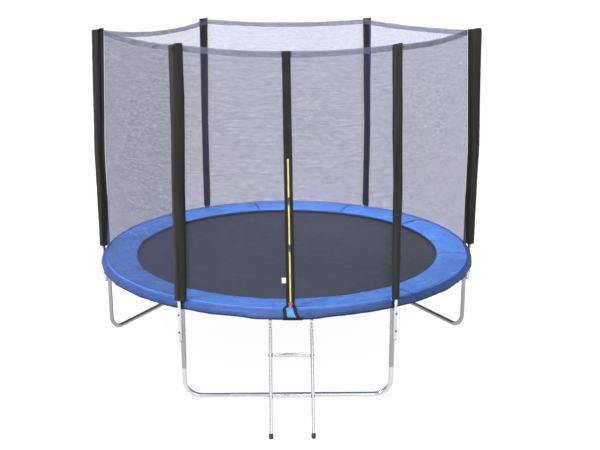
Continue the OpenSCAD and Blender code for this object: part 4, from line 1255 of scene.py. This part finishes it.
print("wedges", WEDGES, "of", WEDGE_TURN, "degrees")

# %% Mat wedges
MAT_RADII = [0.0005, 0.1, 0.2, 0.3, 0.4, 0.5, 0.6, 0.7, 0.8, 0.9, 1.0, 1.1, 1.2, 1.25, MAT_R]
WEBBING_RADII = [1.247, 1.255, 1.270, 1.285, 1.297]
WEBBING_T, WEBBING_LIFTS = 0.0014, (0.0018, -0.0032)

for k in range(WEDGES):
    angle = WEDGE_TURN * (k + 0.5)
    cloth = disc_wedge(f"mat_cloth_{k + 1}", angle, MAT_RADII, MAT_Z - MAT_T / 2, MAT_T, mat_cloth)
    bend_with_mat(cloth, angle)
    layers = [
        disc_wedge("webbing", angle, WEBBING_RADII, MAT_Z + lift, WEBBING_T, strap_cloth)
        for lift in WEBBING_LIFTS
    ]
    webbing = joined(f"mat_webbing_{k + 1}", layers)
    bend_with_mat(webbing, angle)
    if k == 0:
        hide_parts("jumping_mat")
        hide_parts("mat_webbing")
print("mat wedges", len(cloth.data.polygons), "faces each")

# %% Round wire
def wire_piece(name, points, radius, material, sides=1, closed=False):
    """Round wire along a line of points, made as a bevelled curve and turned into a mesh."""
    curve = bpy.data.curves.new(name, "CURVE")
    curve.dimensions = "3D"
    curve.bevel_depth = radius
    curve.bevel_resolution = sides
    curve.use_fill_caps = True
    line = curve.splines.new("POLY")
    line.points.add(len(points) - 1)
    for spot, point in zip(line.points, points):
        spot.co = (*point, 1)
    line.use_cyclic_u = closed
    wire = bpy.data.objects.new(name, curve)
    scene.collection.objects.link(wire)
    pick(wire)
    bpy.ops.object.convert(target="MESH")
    wire = bpy.context.object
    wire.data.materials.append(material)
    for face in wire.data.polygons:
        face.use_smooth = True
    return wire


def arc(centre, radius, start, end, steps=9):
    """Points on an arc in the plane of the ring's radius and the height."""
    t = np.radians(np.linspace(start, end, steps))
    r, z = centre
    return [(0.0, -(r + radius * math.cos(k)), z + radius * math.sin(k)) for k in t]


print("half a hook", np.round(arc((0, 0), 0.004, 270, 90, 3), 4).tolist())

# %% One V ring and one spring
V_BAR, V_HALF, V_TIP, V_FOOT, V_WIRE = 1.3198, 0.0155, 0.0040, 1.2928, 0.0015
SPRING_Z, IN_HOOK, OUT_HOOK, OUT_HOOK_AT, WIRE_END = 0.722, 0.0040, 0.005, 1.49256, 1.4900
COIL_IN, COIL_OUT, COIL_R, WIRE = 1.3420, 1.4675, 0.0093, 0.0014
TURNS, STEPS_PER_TURN = 36, 10


def spring_line():
    """From the V ring's hook, through the taper and the coil, to the hook in the rail."""
    line = arc((V_BAR, MAT_Z), IN_HOOK, 270, 90)
    t = np.linspace(0, 1, TURNS * STEPS_PER_TURN)
    r = COIL_IN + (COIL_OUT - COIL_IN) * t
    wide = COIL_R * ease(np.minimum(t, 1 - t) * 9)
    turn = 2 * math.pi * TURNS * t
    line += [
        (w * math.cos(k), -rr, SPRING_Z + w * math.sin(k)) for rr, w, k in zip(r, wide, turn)
    ]
    line += arc((OUT_HOOK_AT, SPRING_Z - OUT_HOOK), OUT_HOOK, 90, -90)
    line.append((0.0, -WIRE_END, SPRING_Z - 2 * OUT_HOOK))
    return line


corners = [(-V_HALF, -V_FOOT), (V_HALF, -V_FOOT), (V_TIP, -V_BAR), (-V_TIP, -V_BAR)]
v_line = [(x, y, MAT_Z) for x, y in corners]
spring_one = wire_piece("spring_one", spring_line(), WIRE, bright_zinc, 0)
ring_one = wire_piece("ring_one", v_line, V_WIRE, bright_zinc, 1, closed=True)
print("spring", len(spring_one.data.polygons), "faces, V ring", len(ring_one.data.polygons))

# %% Springs and rings in their wedges
SPRINGS_PER_WEDGE = 5
SPRING_STEP = WEDGE_TURN / SPRINGS_PER_WEDGE


def copies_at(pattern, name, angles):
    """Copies a piece made at the front to angles round the ring, and joins the copies."""
    made = []
    for angle in angles:
        copy = pattern.copy()
        copy.data = pattern.data.copy()
        scene.collection.objects.link(copy)
        turn = Matrix.Translation((0, RING_Y, 0)) @ Matrix.Rotation(math.radians(angle), 4, "Z")
        copy.data.transform(turn)
        made.append(copy)
    return joined(name, made)


for k in range(WEDGES):
    angle = WEDGE_TURN * (k + 0.5)
    places = [WEDGE_TURN * k + SPRING_STEP * (i + 0.5) for i in range(SPRINGS_PER_WEDGE)]
    springs = copies_at(spring_one, f"springs_{k + 1}", places)
    rings = copies_at(ring_one, f"v_rings_{k + 1}", places)
    for piece in (springs, rings):
        bend_with_mat(piece, angle)
    if k == 0:
        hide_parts("springs")
        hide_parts("v_rings")
for pattern in (spring_one, ring_one):
    bpy.data.objects.remove(pattern)
print("springs per wedge", len(places))

# %% [markdown]
# ## Door strip and zip
# The door is a slit in the front net, behind a black strip with a yellow zip.
# The strip is woven tape with a raised edge, and the zip's teeth are one small block, repeated.

# %% Place of the door strip
DOOR_SIDE = LEG_ANGLES["front_left"]
foot_point, _ = net_points(DOOR_SIDE, door_share(STRIP_FOOT_X, 0.0), 0.0)
top_point, _ = net_points(DOOR_SIDE, door_share(STRIP_TOP_X, 1.0), 1.0)
strip_up = Vector(top_point - foot_point)
STRIP_LEN = strip_up.length
strip_up.normalize()
tilt = -math.asin(strip_up.y)
slant = math.asin(strip_up.x / math.cos(tilt))
STRIP_PLACE = Matrix.Translation(Vector(foot_point)) @ (
    Matrix.Rotation(slant, 4, "Y") @ Matrix.Rotation(tilt, 4, "X")
)
print("strip length", round(STRIP_LEN, 4), "tilt", round(math.degrees(tilt), 3))


# %% Helpers for the strip
def on_strip(piece):
    """Moves a piece made on the Z axis to the strip's line. Its front faces -Y before that."""
    piece.data.transform(STRIP_PLACE)
    return piece


def strip_grid(half_width, back, thick, low, high, rows, edge=0.0, flare=0.0, seed=0):
    """A long flat strap with raised edges, as a closed outline swept up the strip.

    The edge is how much its sides wander, and the flare how much wider it is at its top.
    """
    z = np.linspace(low, high, rows)[:, None]
    x = np.array([-1, -1, -0.9, -0.55, 0, 0.55, 0.9, 1, 1, 0.9, 0.55, 0, -0.55, -0.9])
    face = np.array([0.15, 0.85, 1, 0.9, 0.88, 0.9, 1, 0.85, 0.15, 0, 0, 0, 0, 0])
    wide = half_width * (1 + flare * ease((z - high + 0.06) / 0.05))
    wide = wide + edge * wobble(seed, z * 9, 0 * z)
    lump = 0.0004 * wobble(seed + 2, x[None, :] * 2, z * 30)
    y = -(back + thick * face[None, :]) - lump * (face[None, :] > 0.5)
    return np.stack(np.broadcast_arrays(wide * x[None, :], y, z), axis=-1)


print("strip helpers ready")

# %% Strip and zip tape
STRIP_HALF, STRIP_BACK, STRIP_T, STRIP_END = 0.0295, 0.0023, 0.0040, 0.018
ZIP_HALF, ZIP_BACK, ZIP_T, ZIP_FOOT, ZIP_LEN = 0.0056, 0.0063, 0.0011, 0.041, 0.995

surface = strip_grid(
    STRIP_HALF, STRIP_BACK, STRIP_T, STRIP_END, STRIP_LEN, 140, edge=0.0012, flare=0.08, seed=61
)
strip = grid_piece("door_strip_cloth", surface, strap_cloth, close_u=True, caps=True)
on_strip(strip)
settle(strip, "frame", "black_fabric", "door_strip")
surface = strip_grid(ZIP_HALF, ZIP_BACK, ZIP_T, ZIP_FOOT, ZIP_FOOT + ZIP_LEN, 60, seed=63)
tape = grid_piece("zip_cloth", surface, yellow_tape, close_u=True, caps=True)
print("strip", len(strip.data.polygons), "faces, tape", len(tape.data.polygons))

# %% Zip teeth
TOOTH_SIZE, TOOTH_PITCH, TOOTH_EDGE = (0.0044, 0.0018, 0.0026), 0.0042, 0.0005

deselect()
bpy.ops.mesh.primitive_cube_add(size=1, location=(0, -ZIP_BACK - 0.0015, ZIP_FOOT + 0.004))
tooth = bpy.context.object
tooth.name = "tooth"
tooth.scale = TOOTH_SIZE
bpy.ops.object.transform_apply(location=True, rotation=False, scale=True)
bpy.ops.object.mode_set(mode="EDIT")
bpy.ops.mesh.select_all(action="SELECT")
bpy.ops.mesh.bevel(offset=TOOTH_EDGE, segments=1)
bpy.ops.object.mode_set(mode="OBJECT")
row = tooth.modifiers.new("row", "ARRAY")
row.use_relative_offset = False
row.use_constant_offset = True
row.constant_offset_displace = (0, 0, TOOTH_PITCH)
row.count = int((ZIP_LEN - 0.008) / TOOTH_PITCH)
bpy.ops.object.modifier_apply(modifier=row.name)
tooth.data.materials.append(yellow_teeth)
zip_line = joined("zip_teeth_and_tape", [tape, tooth])
on_strip(zip_line)
settle(zip_line, "frame", "zip_yellow", "zip_tape")
print("zip", len(zip_line.data.polygons), "faces")

# %% [markdown]
# ## Small sewn pieces
# A red tab covers the zip's lower end, two tapes tie the door down over the pad,
# straps and loops hold each sleeve's foot, and a blank white tag hangs by the zip.


# %% Helpers for tapes
def ribbon(name, middle, across, wide, thick, material, fold=0.0):
    """A flat tape along a line: its middle points, and the direction across it at each."""
    middle, across = np.array(middle), np.array(across)
    along = np.gradient(middle, axis=0)
    along /= np.linalg.norm(along, axis=1)[:, None]
    across = across / np.linalg.norm(across, axis=1)[:, None]
    face = np.cross(along, across)
    side = np.array([-1, -0.9, 0, 0.9, 1, 1, 0.9, 0, -0.9, -1])
    level = np.array([0.3, 0, 0, 0, 0.3, 0.7, 1, 1 + fold, 1, 0.7])
    points = (
        middle[:, None, :] + across[:, None, :] * (side * wide / 2)[None, :, None]
        + face[:, None, :] * (level * thick)[None, :, None]
    )
    return grid_piece(name, points, material, close_u=True, caps=True)


def smooth_line(points, steps):
    """More points along a broken line, rounded at its corners."""
    for _ in range(3):
        cut = [points[0]]
        for a, b in zip(points[:-1], points[1:]):
            cut += [a * 0.75 + b * 0.25, a * 0.25 + b * 0.75]
        points = np.array(cut + [points[-1]])
    run = np.concatenate([[0], np.cumsum(np.linalg.norm(np.diff(points, axis=0), axis=1))])
    want = np.linspace(0, run[-1], steps)
    return np.stack([np.interp(want, run, points[:, k]) for k in range(3)], axis=-1)


print("tape helpers ready")

# %% Tapes that tie the door down
TAPE_STAND, TAPE_W, TAPE_T, BAND_W, BAND_STAND = 0.0090, 0.025, 0.0016, 0.022, 0.0112
BAND_X, BAND_Z = (-0.034, 0.100), SKIRT_FOOT + 0.009


def down_the_skirt(start, x0, x1):
    """A tape's line from the strip's foot over the pad's edge and down the skirt."""
    first = [tuple(STRIP_PLACE @ Vector((start, -0.0075, up))) for up in (0.030, 0.020)]
    line = [(x0, 1.5040, 0.7690), (x0, 1.5150, 0.7640), (x0 + (x1 - x0) * 0.06, 1.5285, 0.7555)]
    for t in (0.2, 0.45, 0.7, 0.98):
        z = SKIRT_TOP - (SKIRT_TOP - SKIRT_FOOT) * t
        x = x0 + (x1 - x0) * t
        line.append((x, skirt_radius(math.degrees(math.asin(x / PAD_OUT)), z) + TAPE_STAND, z))
    return np.array(first + [(x, RING_Y - math.sqrt(r * r - x * x), z) for x, r, z in line])


tapes = []
for door_tape in DOOR_TAPES:
    line = smooth_line(down_the_skirt(*door_tape), 34)
    across = [(1, 0, 0)] * len(line)
    tapes.append(ribbon("tape", line, across, TAPE_W, TAPE_T, strap_cloth, fold=0.2))
turned = np.degrees(np.arcsin(np.linspace(*BAND_X, 16) / PAD_OUT))
line = polar(skirt_radius(turned, BAND_Z) + BAND_STAND, turned, BAND_Z)
tapes.append(ribbon("tape", line, [(0, 0, 1)] * len(line), BAND_W, TAPE_T, strap_cloth))
door_tapes = settle(joined("door_tie_tapes", tapes), "frame", "black_fabric", "door_tapes")
print("door tapes", len(door_tapes.data.polygons), "faces")

# %% Red tab and blank tag
TAB_TOP, TAB_TALL, TAB_W, TAB_TAPER = 0.040, 0.024, 0.032, 0.45
TAG_X, TAG_TOP, TAG_W = -0.043, 0.216, 0.028

line = [(0, -ZIP_BACK - 0.0004 - 0.0006 * k, TAB_TOP - 0.006 * k) for k in range(5)]
tab = ribbon("zip_tab_cloth", line, [(1, 0, 0)] * len(line), 1.0, 0.0014, red_tape)
for vertex in tab.data.vertices:
    share = (TAB_TOP - vertex.co.z) / TAB_TALL
    vertex.co.x *= TAB_W * (1 - TAB_TAPER * share)
on_strip(tab)
settle(tab, "frame", "red_tab", "zip_end_tab")

line = [(TAG_X, -0.0062 - 0.0010 * math.sin(k), TAG_TOP - 0.0062 * k) for k in range(7)]
tag = ribbon("blank_tag", line, [(1, 0, 0)] * len(line), TAG_W, 0.0008, white_tape)
on_strip(tag)
settle(tag, "frame", "net_hem")
print("sewn by the zip", tab.name, tag.name)

# %% Straps and loops at the sleeves' feet
LOOP_R, LOOP_Z, LOOP_WIRE = 0.0149, 0.7710, 0.0019
STRAP_AWAY, STRAP_TOP, STRAP_LEN, STRAP_W, STRAP_T = 0.0215, 0.7740, 0.0700, 0.016, 0.0018
BOW_OUT, BOW_Z, BOW_WIRE = 0.0205, 0.752, 0.0022

turn = np.linspace(0, 2 * math.pi, 20, endpoint=False)
bow_turn = np.linspace(0, 2 * math.pi, 18, endpoint=False)
up = np.array([0, 0, 1])
ties, loops = [], []
for number, leg in enumerate(LEGS):
    angle = LEG_ANGLES[leg]
    side = -1 if 0 < angle < 180 else 1
    axis = polar(POLE_R, angle, 0.0)
    a = math.radians(angle)
    outward = np.array([math.sin(a), -math.cos(a), 0])
    across = np.array([math.cos(a), math.sin(a), 0])
    loop = [
        axis + outward * LOOP_R * math.cos(t) + across * LOOP_R * math.sin(t)
        + up * (LOOP_Z + 0.0006 * math.sin(3 * t))
        for t in turn
    ]
    ties.append(wire_piece("loop", loop, LOOP_WIRE, strap_cloth, 1, closed=True))
    place = axis + across * side * STRAP_AWAY
    strap = [
        place + outward * (0.0003 * math.sin(k * 1.3) - 0.0020)
        + up * (STRAP_TOP - STRAP_LEN * k / 8)
        for k in range(9)
    ]
    ties.append(ribbon("strap", strap, [across] * 9, STRAP_W, STRAP_T, strap_cloth, fold=0.2))
    bow = [
        axis + outward * (BOW_OUT + 0.010 * math.sin(t))
        + across * side * (0.002 + 0.016 * math.sin(t / 2)) + up * (BOW_Z + 0.013 * math.cos(t))
        for t in bow_turn
    ]
    loops.append(wire_piece("bow", bow, BOW_WIRE, white_tape, 1, closed=True))
for piece in ties + loops:
    if not piece.data.uv_layers:
        piece.data.uv_layers.new(name="UVMap")
settle(joined("sleeve_tie_straps", ties), "frame", "black_fabric", "sleeve_ties")
settle(joined("white_tie_loops", loops), "frame", "net_hem")
print("ties", len(ties), "loops", len(loops))

# %% [markdown]
# ## Rubber feet
# Each side tube of the ladder ends in a short rubber cup that stands flat on the ground.
# It is a cylinder along the tube, cut level, with its mouth inset and sunk round the tube.

# %% Rubber feet
CUP_R, CUP_TALL, TUBE_R, MOUTH_DEEP = 0.0152, 0.030, 0.0127, 0.004


def tube_line(side):
    """The middle of a ladder tube's lower end, and the direction up the tube."""
    tube = np.array([v.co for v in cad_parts["ladder_side_" + side].data.vertices])
    z = tube[:, 2]
    ends = (tube[z < z.min() + 0.02], tube[z > z.max() - 0.02])
    start, end = (Vector((part.min(0) + part.max(0)) / 2) for part in ends)
    return start, (end - start).normalized()


def ladder_foot(side):
    """A cup round a tube's end, cut level at the ground, with its mouth sunk round the tube."""
    start, along = tube_line(side)
    ground = start - along * (start.z / along.z)
    deselect()
    bpy.ops.mesh.primitive_cylinder_add(
        vertices=40, radius=CUP_R, depth=2 * CUP_TALL, location=ground,
        rotation=along.to_track_quat("Z", "Y").to_euler(),
    )
    cup = bpy.context.object
    cup.name = "ladder_foot_" + side
    bpy.ops.object.transform_apply(location=True, rotation=True, scale=True)
    bpy.ops.object.mode_set(mode="EDIT")
    bpy.ops.mesh.select_all(action="SELECT")
    bpy.ops.mesh.bisect(plane_co=(0, 0, 0), plane_no=(0, 0, 1), use_fill=True, clear_inner=True)
    bpy.ops.mesh.select_mode(type="FACE")
    bpy.ops.mesh.select_all(action="DESELECT")
    bpy.ops.object.mode_set(mode="OBJECT")
    for face in cup.data.polygons:
        face.select = face.normal.dot(along) > 0.99
    bpy.ops.object.mode_set(mode="EDIT")
    bpy.ops.mesh.inset(thickness=CUP_R - TUBE_R)
    bpy.ops.mesh.extrude_region_move(TRANSFORM_OT_translate={"value": -along * MOUTH_DEEP})
    bpy.ops.mesh.select_all(action="DESELECT")
    bpy.ops.object.mode_set(mode="OBJECT")
    edge = cup.modifiers.new("soft_edge", "BEVEL")
    edge.width, edge.segments, edge.angle_limit = 0.0008, 2, math.radians(50)
    bpy.ops.object.modifier_apply(modifier=edge.name)
    bpy.ops.object.shade_smooth_by_angle(angle=math.radians(40))
    cup.data.materials.append(black_rubber)
    return cup


feet = joined("ladder_rubber_feet", [ladder_foot("left"), ladder_foot("right")])
settle(feet, "ladder", "black_rubber", "ladder_feet")
print("feet", len(feet.data.polygons), "faces")
